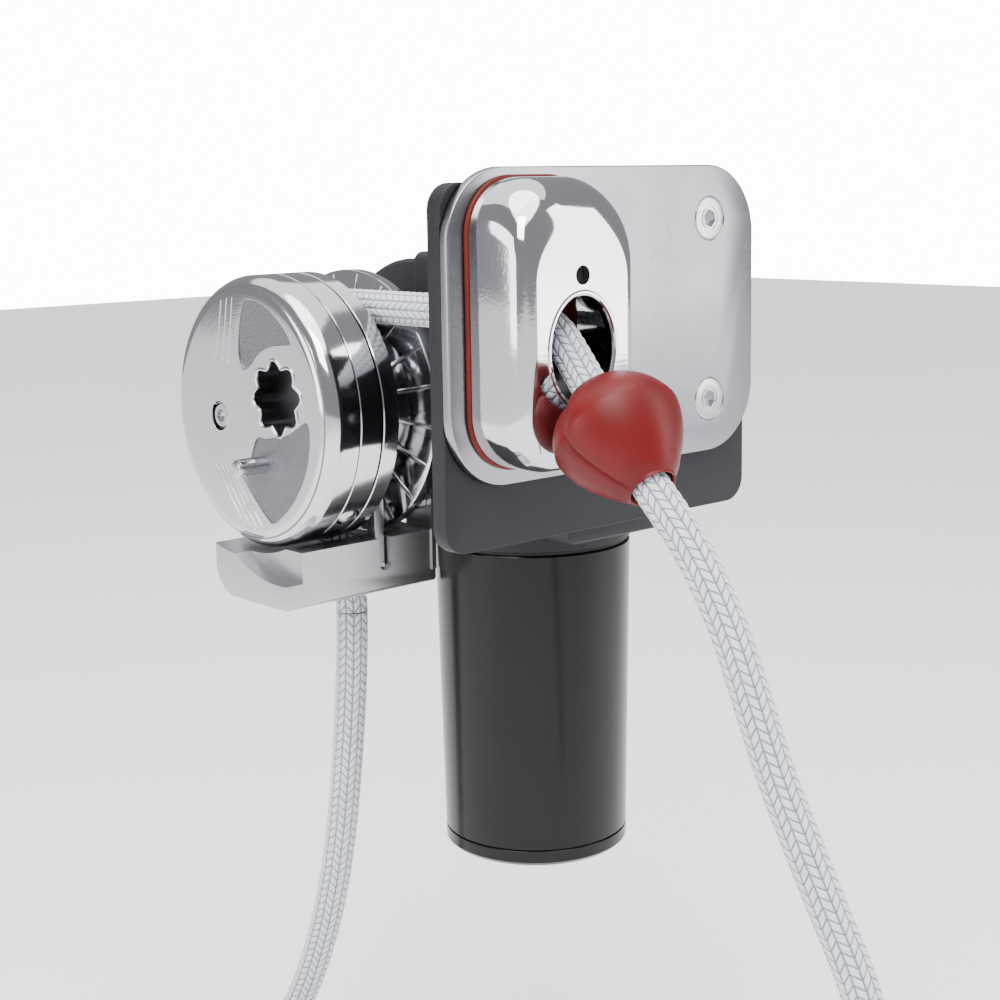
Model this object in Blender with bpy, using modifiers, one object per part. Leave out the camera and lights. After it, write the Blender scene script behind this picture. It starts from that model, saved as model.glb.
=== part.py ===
"""A through-bulkhead rope windlass, built as separate pieces.

The hull face of the backing plate is the plane y = 0 and faces -Y, outboard. +Y runs into the boat, +Z is up.
The rope comes in through the hood, runs level over the rope gypsy, round its back and down into the locker.
"""

import math

import bmesh
import bpy
from mathutils import Matrix, Vector

MM = 0.001
GAP = 0.3 * MM  # between faces that touch on the real object
ROUND_STEPS = 32
SMALL_STEPS = 14

# Backing plate, inside the hull
BACKING_WIDTH = 151 * MM
BACKING_BOTTOM = -11 * MM
BACKING_TOP = 112 * MM
BACKING_THICKNESS = 7 * MM
BACKING_CORNER = 9 * MM
SEAT_DEPTH = 0.5 * MM  # the face plate's seat is machined this deep

# Face plate, outside the hull
FACE_WIDTH = 152 * MM
FACE_BOTTOM = 11 * MM
FACE_HEIGHT = 106 * MM
FACE_THICKNESS = 4 * MM
FACE_CORNER = 25 * MM
SCREW_INSET_X = 24.5 * MM
SCREW_INSET_Z = 19.5 * MM

# Rope and the line that it runs on
ROPE_RADIUS = 6 * MM
ROPE_X = -41 * MM
GYPSY_Y = 107 * MM
GYPSY_Z = 28.6 * MM
ROPE_ON_GYPSY = 38.4 * MM  # from the shaft to the middle of the rope

# Hood
HOOD_HALF_WIDTH = 27.5 * MM
HOOD_BOTTOM = 17 * MM
HOOD_TOP = 113.5 * MM
HOOD_DEPTH = 24.3 * MM
HOOD_CORNER = 19 * MM
HOOD_WALL = 4.5 * MM
GASKET_THICKNESS = 1.5 * MM
GASKET_RIM = 0.8 * MM
MOUTH_Z = 57.4 * MM
MOUTH_HALF_WIDTH = 15.3 * MM
MOUTH_HALF_HEIGHT = 18.7 * MM
DRAIN_Z = 81.7 * MM
DRAIN_RADIUS = 3.2 * MM
CAVITY_HALF_WIDTH = 17 * MM
CAVITY_BOTTOM = 34.5 * MM
CAVITY_TOP = 80 * MM
HOOD_STUD_INSET = 9 * MM  # from the hood's ends

# Rope passage through both plates, and the saddle in it
PASSAGE_HALF_WIDTH = 12.5 * MM
PASSAGE_BOTTOM = 34.5 * MM
PASSAGE_TOP = 79 * MM
SADDLE_Y = -4 * MM
SADDLE_RADIUS = 17.6 * MM

# Gypsy, clutch and cap, along the shaft
SHAFT_RADIUS = 9 * MM
GYPSY_RADIUS = 51 * MM
GROOVE_HALF = 8.1 * MM  # at the rim
GROOVE_HALF_AT_BOTTOM = 5.5 * MM
GROOVE_BOTTOM_RADIUS = 31.5 * MM
FLANGE_RIM = 7.2 * MM
SEAM = 0.8 * MM  # dark gap between the gypsy and the clutch ring
CLUTCH_RING_WIDTH = 9.5 * MM
CAP_WIDTH = 13.6 * MM
CAP_EDGE = 7 * MM
STAR_Y = 88 * MM
STAR_Z = 35.6 * MM
STAR_RADIUS = 15.6 * MM
STAR_DEPTH = 9.3 * MM
CAP_SCREW_Y = 126 * MM
CAP_SCREW_Z = 26 * MM
CAP_SCREW_RADIUS = 4.6 * MM
PEG_Y = 99 * MM
PEG_Z = 10 * MM
PEG_RADIUS = 3.3 * MM
PEG_LENGTH = 11.5 * MM
STUD_ANGLE = 227  # degrees round the shaft, from +Y towards +Z
STUD_RADIUS = 4.2 * MM

# Gearbox
CASE_LEFT = 0 * MM
CASE_RIGHT = 38 * MM
CASE_RADIUS = 54 * MM
CASE_WALL = 6 * MM
BLOCK_LEFT = -12 * MM
BLOCK_RIGHT = 43 * MM
BLOCK_BACK = 92 * MM
BLOCK_BOTTOM = -18 * MM
BLOCK_TOP = 86 * MM
BOSS_RADIUS = 20 * MM
BOSS_LEFT = -9 * MM
COVER_THICKNESS = 6 * MM
COVER_BOLT_CIRCLE = 49 * MM
BEARING_RADIUS = 15 * MM
BEARING_WIDTH = 5 * MM
WORM_RADIUS = 8 * MM
WHEEL_WIDTH = 14 * MM
WORM_SHAFT_RADIUS = 5 * MM
WORM_BORE_RADIUS = 11 * MM

# Motor
MOTOR_X = 18 * MM
MOTOR_Y = 58.5 * MM
MOTOR_TOP_RADIUS = 38.2 * MM
MOTOR_FOOT_RADIUS = 36.1 * MM
MOTOR_TOP = -26 * MM
MOTOR_FOOT = -141.5 * MM
MOTOR_WALL = 3 * MM
END_CAP_HEIGHT = 6.2 * MM
ARMATURE_RADIUS = 22 * MM
MAGNET_THICKNESS = 6 * MM
TERMINAL_SPREAD = 13 * MM

# Stripper bracket
BRACKET_LEFT = -86.7 * MM
BRACKET_RIGHT = -16 * MM
BRACKET_FRONT = 77 * MM
BRACKET_BACK = 123 * MM
BRACKET_BOTTOM = -41 * MM
BRACKET_TOP = -20.3 * MM
LIP_RIGHT = -79.4 * MM
RIM_CLEARANCE = 1.7 * MM
ROPE_SLOT_HALF = 8 * MM
ROPE_SLOT_FRONT = 90 * MM
ROPE_SLOT_BACK = 117.5 * MM
FINGER_THICKNESS = 4.4 * MM

STRAIGHT_END = 4 * MM  # a stretch of rope squares up to the next over this length

# Ball stopper on the rope
BALL_AT = Vector((-46.6, -52.9, 30.55)) * MM
BALL_AHEAD = Vector((-48.9, -67.7, 17.3)) * MM  # a point on the rope beyond the ball
BALL_RADIUS = 22.2 * MM
BALL_BORE = 6.9 * MM

# Locker coil
COIL_MEAN_RADIUS = 72 * MM
COIL_HALF_WIDTH = 24.5 * MM
COIL_HALF_HEIGHT = 31 * MM
LOCKER_FLOOR = -352 * MM
COIL_Y = 150 * MM
COIL_X = ROPE_X - COIL_MEAN_RADIUS

# Bracket bolts, housing screws, stainless, and the rest of the finishes: colour, roughness, metallic
FINISHES = {
    "polished_stainless": ((0.62, 0.62, 0.65), 0.12, 1.0),
    "satin_stainless": ((0.52, 0.52, 0.55), 0.32, 1.0),
    "dark_plate": ((0.045, 0.045, 0.052), 0.45, 0.0),
    "gearbox_paint": ((0.05, 0.05, 0.055), 0.5, 0.0),
    "motor_paint": ((0.014, 0.012, 0.012), 0.28, 0.0),
    "red_rubber": ((0.42, 0.03, 0.03), 0.45, 0.0),
    "black_plastic": ((0.02, 0.02, 0.02), 0.4, 0.0),
    "black_rubber": ((0.02, 0.02, 0.02), 0.7, 0.0),
    "bronze": ((0.55, 0.36, 0.16), 0.35, 1.0),
    "steel": ((0.45, 0.45, 0.46), 0.35, 1.0),
    "copper": ((0.7, 0.32, 0.2), 0.35, 1.0),
    "magnet": ((0.12, 0.12, 0.13), 0.6, 0.0),
    "rope": ((0.8, 0.82, 0.88), 0.75, 0.0),
}

for old in list(bpy.data.objects):
    bpy.data.objects.remove(old, do_unlink=True)

windlass = bpy.data.collections.new("rope_windlass")
cutters = bpy.data.collections.new("cutters")
bpy.context.scene.collection.children.link(windlass)
bpy.context.scene.collection.children.link(cutters)
cutters.hide_render = True


def finish_of(name):
    """The material of this name, made on first use."""
    material = bpy.data.materials.get(name)
    if material:
        return material
    colour, roughness, metallic = FINISHES[name]
    material = bpy.data.materials.new(name)
    material.use_nodes = True
    shader = material.node_tree.nodes["Principled BSDF"]
    shader.inputs["Base Color"].default_value = (*colour, 1)
    shader.inputs["Roughness"].default_value = roughness
    shader.inputs["Metallic"].default_value = metallic
    return material


def place(mesh, name, finish):
    """A part from a finished mesh, or a cutter when it has no finish."""
    thing = bpy.data.objects.new(name, mesh)
    if finish is None:
        cutters.objects.link(thing)
        thing.hide_render = True
        thing.display_type = "WIRE"
        return thing
    windlass.objects.link(thing)
    thing.data.materials.append(finish_of(finish))
    return thing


def block(name, finish, low, high):
    """A box between two corners, with its origin at its middle."""
    low, high = Vector(low), Vector(high)
    shape = bmesh.new()
    bmesh.ops.create_cube(shape, size=1)
    bmesh.ops.scale(shape, vec=high - low, verts=shape.verts)
    mesh = bpy.data.meshes.new(name)
    shape.to_mesh(mesh)
    shape.free()
    thing = place(mesh, name, finish)
    thing.location = (low + high) / 2
    return thing


def turn_towards(axis):
    """The rotation that carries +Z onto an axis."""
    return Vector((0, 0, 1)).rotation_difference(Vector(axis)).to_euler()


def turned(name, finish, profile, at, axis=(1, 0, 0), ring=False, steps=ROUND_STEPS):
    """Spin (height, radius) points about an axis; they run down the outer side, and a ring's come back up the bore."""
    mesh = bpy.data.meshes.new(name)
    points = [(radius, 0, height) for height, radius in profile]
    edges = [(i, i + 1) for i in range(len(points) - 1)]
    if ring:
        edges.append((len(points) - 1, 0))
    mesh.from_pydata(points, edges, [])
    thing = place(mesh, name, finish)
    thing.location = at
    thing.rotation_euler = turn_towards(axis)
    screw = thing.modifiers.new("spin", "SCREW")
    screw.steps = steps
    screw.render_steps = steps
    screw.use_merge_vertices = True
    screw.merge_threshold = 0.00001
    screw.use_smooth_shade = True
    return thing


def rod(name, finish, radius, low, high, at, axis=(1, 0, 0), steps=SMALL_STEPS):
    """A solid cylinder from low to high along its axis."""
    return turned(name, finish, [(high, 0), (high, radius), (low, radius), (low, 0)], at, axis, steps=steps)


def tube(name, finish, bore, radius, low, high, at, axis=(1, 0, 0), steps=SMALL_STEPS):
    """A round tube from low to high along its axis."""
    profile = [(high, bore), (high, radius), (low, radius), (low, bore)]
    return turned(name, finish, profile, at, axis, ring=True, steps=steps)


def outline(name, finish, points, low, high, plane):
    """A flat outline given thickness from low to high; plane 'XZ' stands across Y and 'YZ' across X."""
    curve = bpy.data.curves.new(name, "CURVE")
    curve.dimensions = "2D"
    curve.fill_mode = "BOTH"
    curve.extrude = (high - low) / 2
    spline = curve.splines.new("POLY")
    spline.points.add(len(points) - 1)
    for point, (across, up) in zip(spline.points, points):
        point.co = (across, up, 0, 1)
    spline.use_cyclic_u = True
    guide = bpy.data.objects.new(name + "_outline", curve)
    bpy.context.scene.collection.objects.link(guide)
    graph = bpy.context.evaluated_depsgraph_get()
    mesh = bpy.data.meshes.new_from_object(guide.evaluated_get(graph))
    bpy.data.objects.remove(guide)
    middle = (low + high) / 2
    if plane == "XZ":
        turn = Matrix(((1, 0, 0, 0), (0, 0, 1, middle), (0, 1, 0, 0), (0, 0, 0, 1)))
    else:
        turn = Matrix(((0, 0, 1, middle), (1, 0, 0, 0), (0, 1, 0, 0), (0, 0, 0, 1)))
    shape = bmesh.new()
    shape.from_mesh(mesh)
    bmesh.ops.remove_doubles(shape, verts=shape.verts, dist=0.000001)
    bmesh.ops.transform(shape, matrix=turn, verts=shape.verts)
    bmesh.ops.recalc_face_normals(shape, faces=shape.faces)
    shape.to_mesh(mesh)
    shape.free()
    mesh.materials.clear()
    return place(mesh, name, finish)


def arc(centre, radius, start, end, steps):
    """Points round a centre, from one angle to another in degrees."""
    angles = [math.radians(start + (end - start) * i / steps) for i in range(steps + 1)]
    return [(centre[0] + radius * math.cos(a), centre[1] + radius * math.sin(a)) for a in angles]


def rounded_box(left, right, bottom, top, corner, steps=5):
    """The outline of a rectangle with round corners."""
    corners = [
        (right - corner, top - corner, 0),
        (left + corner, top - corner, 90),
        (left + corner, bottom + corner, 180),
        (right - corner, bottom + corner, 270),
    ]
    points = []
    for across, up, start in corners:
        points += arc((across, up), corner, start, start + 90, steps)
    return points


def oval(across, up, half_width, half_height, steps=28):
    """The outline of an ellipse."""
    turns = [2 * math.pi * i / steps for i in range(steps)]
    return [(across + half_width * math.cos(t), up + half_height * math.sin(t)) for t in turns]


def combine(thing, other, operation):
    """Cut the other shape from a part, join it on, or keep what they share."""
    boolean = thing.modifiers.new(other.name, "BOOLEAN")
    boolean.object = other
    boolean.operation = operation
    boolean.solver = "EXACT"
    return thing


def cut(thing, *others):
    for other in others:
        combine(thing, other, "DIFFERENCE")
    return thing


def join(thing, *others):
    for other in others:
        combine(thing, other, "UNION")
    return thing


def lofted(name, finish, sections):
    """A closed solid over a run of outlines, each a depth along Y and its (x, z) points."""
    shape = bmesh.new()
    loops = []
    for depth, points in sections:
        verts = [shape.verts.new((across, depth, up)) for across, up in points]
        loops.append([shape.edges.new((verts[i - 1], verts[i])) for i in range(len(verts))])
    for first, second in zip(loops, loops[1:]):
        bmesh.ops.bridge_loops(shape, edges=first + second)
    bmesh.ops.holes_fill(shape, edges=loops[0] + loops[-1], sides=0)
    bmesh.ops.recalc_face_normals(shape, faces=shape.faces)
    mesh = bpy.data.meshes.new(name)
    shape.to_mesh(mesh)
    shape.free()
    return place(mesh, name, finish)


# Where the layers of the plates lie, from the hull face outboard
SEAT = SEAT_DEPTH
FACE_BACK = SEAT - GAP
FACE_FRONT = FACE_BACK - FACE_THICKNESS
GASKET_BACK = FACE_FRONT - GAP
GASKET_FRONT = GASKET_BACK - GASKET_THICKNESS
HOOD_BACK = GASKET_FRONT - GAP
HOOD_FRONT = HOOD_BACK - HOOD_DEPTH
FACE_TOP = FACE_BOTTOM + FACE_HEIGHT
BEHIND = BACKING_THICKNESS
SCREW_X = FACE_WIDTH / 2 - SCREW_INSET_X
SCREW_HEIGHTS = {"lower": FACE_BOTTOM + SCREW_INSET_Z, "upper": FACE_TOP - SCREW_INSET_Z}
STUD_HEIGHTS = {"lower": HOOD_BOTTOM + HOOD_STUD_INSET, "upper": HOOD_TOP - HOOD_STUD_INSET}
HOUSING_SCREWS = [(x, z) for x in (BLOCK_LEFT + 9 * MM, BLOCK_RIGHT - 9 * MM) for z in (22 * MM, BLOCK_TOP - 8 * MM)]
M8_SHANK = 4 * MM
M8_HEAD = 8 * MM
M6_SHANK = 3 * MM
M6_HEAD = 5.6 * MM
CLEARANCE = 0.35 * MM
CSK_DEPTH = 4 * MM
SHAFT_AXIS = Vector((0, GYPSY_Y, GYPSY_Z))


def hex_socket(name, radius, depth, at, axis):
    """The cutter of a hexagon socket, from a little above the face down to its depth."""
    return rod(name, None, radius, -depth, 1 * MM, at, axis, steps=6)


def passage(name, low, high):
    points = rounded_box(ROPE_X - PASSAGE_HALF_WIDTH, ROPE_X + PASSAGE_HALF_WIDTH, PASSAGE_BOTTOM, PASSAGE_TOP, 11 * MM)
    return outline(name, None, points, low, high, "XZ")


def backing_plate():
    half = BACKING_WIDTH / 2
    points = rounded_box(-half, half, BACKING_BOTTOM, BACKING_TOP, BACKING_CORNER)
    plate = outline("backing_plate", "dark_plate", points, 0, BACKING_THICKNESS, "XZ")
    seat_low = (-BACKING_WIDTH, -SEAT_DEPTH, FACE_BOTTOM - GAP)
    cut(plate, block("seat_cutter", None, seat_low, (BACKING_WIDTH, SEAT_DEPTH, BACKING_TOP * 2)))
    cut(plate, passage("backing_passage_cutter", -5 * MM, 15 * MM))
    for level, height in SCREW_HEIGHTS.items():
        hole = M8_SHANK + CLEARANCE
        cut(plate, rod(f"backing_hole_{level}", None, hole, -5 * MM, 15 * MM, (SCREW_X, 0, height), (0, 1, 0)))
    for level, height in STUD_HEIGHTS.items():
        hole = M8_SHANK + CLEARANCE
        cut(plate, rod(f"backing_stud_hole_{level}", None, hole, -5 * MM, 15 * MM, (ROPE_X, 0, height), (0, 1, 0)))
    for number, (x, z) in enumerate(HOUSING_SCREWS):
        cut(plate, countersink(f"backing_csk_{number}", M6_SHANK, M6_HEAD, 3 * MM, (x, SEAT, z), CLEARANCE))


def countersink(name, shank, head, depth, at, clearance, finish=None, length=15 * MM):
    """A countersunk screw's outline about -Y: the screw itself, or with a clearance the cutter for its hole."""
    above = 1 * MM if finish is None else 0
    profile = [(above, 0), (above, head + clearance), (0, head + clearance), (-depth, shank + clearance)]
    profile += [(-length, shank + clearance), (-length, 0)]
    if finish is not None:
        profile = profile[:1] + profile[2:]
    return turned(name, finish, profile, at, (0, -1, 0), steps=SMALL_STEPS + 4)


def face_plate():
    half = FACE_WIDTH / 2
    points = rounded_box(-half, half, FACE_BOTTOM, FACE_TOP, FACE_CORNER, steps=8)
    plate = outline("face_plate", "polished_stainless", points, FACE_FRONT, FACE_BACK, "XZ")
    cut(plate, passage("face_passage_cutter", -15 * MM, 5 * MM))
    for level, height in SCREW_HEIGHTS.items():
        spot = (SCREW_X, FACE_FRONT, height)
        cut(plate, countersink(f"face_csk_{level}", M8_SHANK, M8_HEAD, CSK_DEPTH, spot, CLEARANCE))
    for level, height in STUD_HEIGHTS.items():
        hole = M8_SHANK + CLEARANCE
        cut(plate, rod(f"face_stud_hole_{level}", None, hole, -15 * MM, 5 * MM, (ROPE_X, 0, height), (0, 1, 0)))


def plate_fixings():
    """Countersunk screws on the right, studs into the hood on the left, and a nut behind each."""
    nut_back = BEHIND + GAP + 6.5 * MM
    for level, height in SCREW_HEIGHTS.items():
        spot = (SCREW_X, FACE_FRONT, height)
        length = nut_back + 3 * MM - FACE_FRONT
        screw = countersink(f"plate_screw_{level}", M8_SHANK, M8_HEAD, CSK_DEPTH, spot, 0, "satin_stainless", length)
        cut(screw, hex_socket(f"plate_screw_socket_{level}", 2.9 * MM, 2.6 * MM, spot, (0, -1, 0)))
        nut(f"plate_nut_{level}", SCREW_X, height)
    for level, height in STUD_HEIGHTS.items():
        spot = (ROPE_X, 0, height)
        rod(f"hood_stud_{level}", "satin_stainless", M8_SHANK, HOOD_BACK - 12 * MM, nut_back + 3 * MM, spot, (0, 1, 0))
        nut(f"hood_nut_{level}", ROPE_X, height)


def nut(name, x, z):
    bore = M8_SHANK + CLEARANCE
    low = BEHIND + GAP
    made = rod(name, "satin_stainless", 7.4 * MM, low, low + 6.5 * MM, (x, 0, z), (0, 1, 0), steps=6)
    cut(made, rod(name + "_bore", None, bore, low - 1 * MM, low + 8 * MM, (x, 0, z), (0, 1, 0)))


def hood_ring(inset, top_drop, bottom_rise, corner):
    """The hood's outline, drawn in at the sides and at its ends."""
    half = HOOD_HALF_WIDTH - inset
    return rounded_box(ROPE_X - half, ROPE_X + half, HOOD_BOTTOM + bottom_rise, HOOD_TOP - top_drop, corner, steps=6)


def hood():
    """A deep cover with a flat front, a big round crown and a smaller round at its foot."""
    crown = 19 * MM
    foot = 11 * MM
    side = 5 * MM
    sections = [(HOOD_BACK, hood_ring(0, 0, 0, HOOD_CORNER))]
    for step in range(7):
        angle = math.radians(90 * step / 6)
        depth = HOOD_FRONT + crown * (1 - math.sin(angle))
        reach = max(0.0, 1 - (depth - HOOD_FRONT) / side)
        inset = 2 * MM * (HOOD_BACK - depth) / HOOD_DEPTH + side * (1 - math.sqrt(1 - reach * reach))
        rise = max(0.0, 1 - (depth - HOOD_FRONT) / foot)
        top_drop = crown * (1 - math.cos(angle))
        bottom_rise = foot * (1 - math.sqrt(1 - rise * rise))
        sections.append((depth, hood_ring(inset, top_drop, bottom_rise, HOOD_CORNER - 0.5 * inset)))
    shell = lofted("hood", "polished_stainless", sections)
    cavity = rounded_box(
        ROPE_X - CAVITY_HALF_WIDTH, ROPE_X + CAVITY_HALF_WIDTH, CAVITY_BOTTOM, CAVITY_TOP, 14 * MM
    )
    cut(shell, outline("hood_cavity_cutter", None, cavity, HOOD_FRONT + HOOD_WALL, 5 * MM, "XZ"))
    mouth = oval(ROPE_X, MOUTH_Z, MOUTH_HALF_WIDTH, MOUTH_HALF_HEIGHT)
    cut(shell, outline("hood_mouth_cutter", None, mouth, HOOD_FRONT - 9 * MM, HOOD_FRONT + 9 * MM, "XZ"))
    drain = (ROPE_X, HOOD_FRONT, DRAIN_Z)
    cut(shell, rod("hood_drain_cutter", None, DRAIN_RADIUS, -5 * MM, 3 * MM, drain, (0, 1, 0)))
    for level, height in STUD_HEIGHTS.items():
        hole = M8_SHANK + CLEARANCE
        spot = (ROPE_X, 0, height)
        cut(shell, rod(f"hood_stud_hole_{level}", None, hole, HOOD_BACK - 12.5 * MM, 5 * MM, spot, (0, 1, 0)))


def hood_gasket():
    half = HOOD_HALF_WIDTH + GASKET_RIM
    outside = rounded_box(
        ROPE_X - half, ROPE_X + half, HOOD_BOTTOM - GASKET_RIM, HOOD_TOP + GASKET_RIM, HOOD_CORNER + GASKET_RIM
    )
    gasket = outline("hood_gasket", "red_rubber", outside, GASKET_FRONT, GASKET_BACK, "XZ")
    cut(gasket, passage("gasket_passage_cutter", -15 * MM, 5 * MM))
    for level, height in STUD_HEIGHTS.items():
        hole = M8_SHANK + CLEARANCE
        cut(gasket, rod(f"gasket_hole_{level}", None, hole, -15 * MM, 5 * MM, (ROPE_X, 0, height), (0, 1, 0)))


def rope_saddle():
    """The half-round block in the passage that the rope turns over."""
    foot = PASSAGE_BOTTOM + GAP
    centre = (SADDLE_Y, GYPSY_Z + ROPE_ON_GYPSY - ROPE_RADIUS - SADDLE_RADIUS - GAP)
    points = arc(centre, SADDLE_RADIUS, 0, 180, 14)
    points += [(SADDLE_Y - SADDLE_RADIUS, foot), (SADDLE_Y + SADDLE_RADIUS, foot)]
    saddle_half = PASSAGE_HALF_WIDTH - 1.5 * MM
    saddle = outline("rope_saddle", "black_plastic", points, ROPE_X - saddle_half, ROPE_X + saddle_half, "YZ")
    shoulder = rounded_box(
        ROPE_X - PASSAGE_HALF_WIDTH + GAP, ROPE_X + PASSAGE_HALF_WIDTH - GAP, foot, PASSAGE_TOP - GAP, 10.8 * MM
    )
    combine(saddle, outline("saddle_shoulder", None, shoulder, -40 * MM, 40 * MM, "XZ"), "INTERSECT")


def gearbox_housing():
    """The round wheel case, the block that bolts to the backing plate and the seat for the motor, in one casting."""
    worm = Vector((MOTOR_X, MOTOR_Y, 0))
    body = block(
        "gearbox_housing", "gearbox_paint", (BLOCK_LEFT, BEHIND + GAP, BLOCK_BOTTOM), (BLOCK_RIGHT, BLOCK_BACK, BLOCK_TOP)
    )
    face = CASE_RIGHT + 2 * MM
    left = CASE_LEFT
    case = [(face, 0), (face, CASE_RADIUS), (left, CASE_RADIUS), (left, BOSS_RADIUS)]
    case += [(BOSS_LEFT, BOSS_RADIUS), (BOSS_LEFT, 0)]
    join(body, turned("case_shape", None, case, SHAFT_AXIS, steps=40))
    join(body, rod("motor_seat", None, MOTOR_TOP_RADIUS, MOTOR_TOP + 1.6 * MM, -10 * MM, worm, (0, 0, 1), steps=32))
    for number, (y, z) in enumerate(BRACKET_BOLTS):
        spot = (BLOCK_LEFT, y, z)
        cut(body, rod(f"bracket_tap_{number}", None, M6_SHANK - 0.5 * MM + CLEARANCE, -5 * MM, 10.5 * MM, spot, steps=12))
    floor = CASE_LEFT + CASE_WALL
    reach = CASE_RADIUS - CASE_WALL - 5 * MM
    seat = BEARING_RADIUS + GAP
    back = floor - BEARING_WIDTH - GAP
    way = SHAFT_RADIUS + 3.5 * MM
    room = [(BLOCK_RIGHT + 5 * MM, 0), (BLOCK_RIGHT + 5 * MM, reach), (floor, reach), (floor, seat)]
    room += [(back, seat), (back, way), (BOSS_LEFT - 5 * MM, way), (BOSS_LEFT - 5 * MM, 0)]
    cut(body, turned("wheel_room", None, room, SHAFT_AXIS, steps=36))
    face = (CASE_RIGHT, GYPSY_Y - CASE_RADIUS - 1 * MM, GYPSY_Z - CASE_RADIUS - 1 * MM)
    far = (BLOCK_RIGHT + 5 * MM, BLOCK_BACK + 90 * MM, BLOCK_TOP + 9 * MM)
    cut(body, block("cover_room", None, face, far))
    cut(body, rod("worm_way", None, WORM_BORE_RADIUS, MOTOR_TOP - 9 * MM, 60 * MM, worm, (0, 0, 1), steps=16))
    for number, (x, z) in enumerate(HOUSING_SCREWS):
        cut(body, rod(f"housing_tap_{number}", None, M6_SHANK + CLEARANCE, 0, 21 * MM, (x, 0, z), (0, 1, 0), steps=10))
    for number, spot in enumerate(cover_bolt_spots()):
        tap = M6_SHANK - 0.5 * MM + CLEARANCE
        cut(body, rod(f"cover_tap_{number}", None, tap, CASE_RIGHT - 10 * MM, CASE_RIGHT + 9 * MM, spot, steps=10))


BRACKET_BOLTS = [(83 * MM, -9 * MM), (83 * MM, 2 * MM)]


def cover_bolt_spots():
    """Four bolts on the cover's circle; the front lower one is turned clear of the block's edge."""
    turns = [math.radians(angle) for angle in (35, 145, 215, 325)]
    return [SHAFT_AXIS + COVER_BOLT_CIRCLE * Vector((0, math.cos(t), math.sin(t))) for t in turns]


def housing_screws():
    for number, (x, z) in enumerate(HOUSING_SCREWS, 1):
        spot = (x, SEAT + 0.2 * MM, z)
        countersink(f"housing_screw_{number}", M6_SHANK, M6_HEAD, 3 * MM, spot, 0, "steel", 20 * MM)


def gearbox_cover():
    """The round cover over the wheel, with its gasket and bolts."""
    left = CASE_RIGHT + GAP
    gasket_right = left + 0.8 * MM
    gasket = tube("cover_gasket", "black_rubber", 44 * MM, CASE_RADIUS, left, gasket_right, SHAFT_AXIS, steps=ROUND_STEPS)
    low = gasket_right + GAP
    high = low + COVER_THICKNESS
    profile = [(high + 5 * MM, 0), (high + 5 * MM, 18 * MM), (high, 22 * MM), (high, CASE_RADIUS - 1 * MM)]
    profile += [(high - 1 * MM, CASE_RADIUS), (low, CASE_RADIUS), (low, 0)]
    cover = turned("gearbox_cover", "gearbox_paint", profile, SHAFT_AXIS, steps=40)
    seat = BEARING_RADIUS + GAP
    cut(cover, rod("cover_bearing_seat", None, seat, low - 5 * MM, low + BEARING_WIDTH + GAP, SHAFT_AXIS, steps=20))
    for number, spot in enumerate(cover_bolt_spots(), 1):
        shank = M6_SHANK - 0.5 * MM
        cut(gasket, rod(f"gasket_way_{number}", None, shank + CLEARANCE, 0, 60 * MM, spot, steps=10))
        cut(cover, rod(f"cover_way_{number}", None, shank + CLEARANCE, 0, 60 * MM, spot, steps=10))
        head = high + GAP
        profile = [(head + 4 * MM, 0), (head + 4 * MM, 4 * MM), (head, 4 * MM), (head, shank)]
        profile += [(CASE_RIGHT - 9 * MM, shank), (CASE_RIGHT - 9 * MM, 0)]
        bolt = turned(f"cover_bolt_{number}", "steel", profile, spot, steps=12)
        top = Vector(spot) + Vector((head + 4 * MM, 0, 0))
        cut(bolt, hex_socket(f"cover_bolt_socket_{number}", 2.2 * MM, 2.5 * MM, top, (1, 0, 0)))


def bearings_and_seal():
    left = CASE_LEFT + CASE_WALL - BEARING_WIDTH
    bore = SHAFT_RADIUS + GAP
    right = CASE_RIGHT + 1.4 * MM
    tube("shaft_bearing_left", "steel", bore, BEARING_RADIUS, left, left + BEARING_WIDTH, SHAFT_AXIS, steps=20)
    tube("shaft_bearing_right", "steel", bore, BEARING_RADIUS, right, right + BEARING_WIDTH, SHAFT_AXIS, steps=20)
    seal = SHAFT_RADIUS + 3.5 * MM - GAP
    tube("shaft_seal", "black_rubber", bore, seal, BOSS_LEFT + GAP, BOSS_LEFT + 6 * MM, SHAFT_AXIS, steps=20)
    worm = (MOTOR_X, MOTOR_Y, 0)
    for level, low in (("lower", MOTOR_TOP + 4 * MM), ("upper", 54 * MM)):
        inner = WORM_SHAFT_RADIUS + GAP
        outer = WORM_BORE_RADIUS - GAP
        tube(f"worm_bearing_{level}", "steel", inner, outer, low, low + BEARING_WIDTH, worm, (0, 0, 1))


# The stack along the shaft, from the groove out to the cap's face and in to the gearbox
OUTER_EDGE = ROPE_X - GROOVE_HALF
INNER_EDGE = ROPE_X + GROOVE_HALF
OUTER_BACK = OUTER_EDGE - FLANGE_RIM
RING_RIGHT = OUTER_BACK - SEAM
RING_LEFT = RING_RIGHT - CLUTCH_RING_WIDTH
CAP_RIGHT = RING_LEFT - GAP
CAP_FACE = CAP_RIGHT - CAP_WIDTH
INNER_BACK = INNER_EDGE + FLANGE_RIM
SHAFT_LEFT = CAP_RIGHT - 3.2 * MM
SHAFT_RIGHT = CASE_RIGHT + 1.4 * MM + BEARING_WIDTH
GYPSY_BORE = SHAFT_RADIUS + GAP


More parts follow.
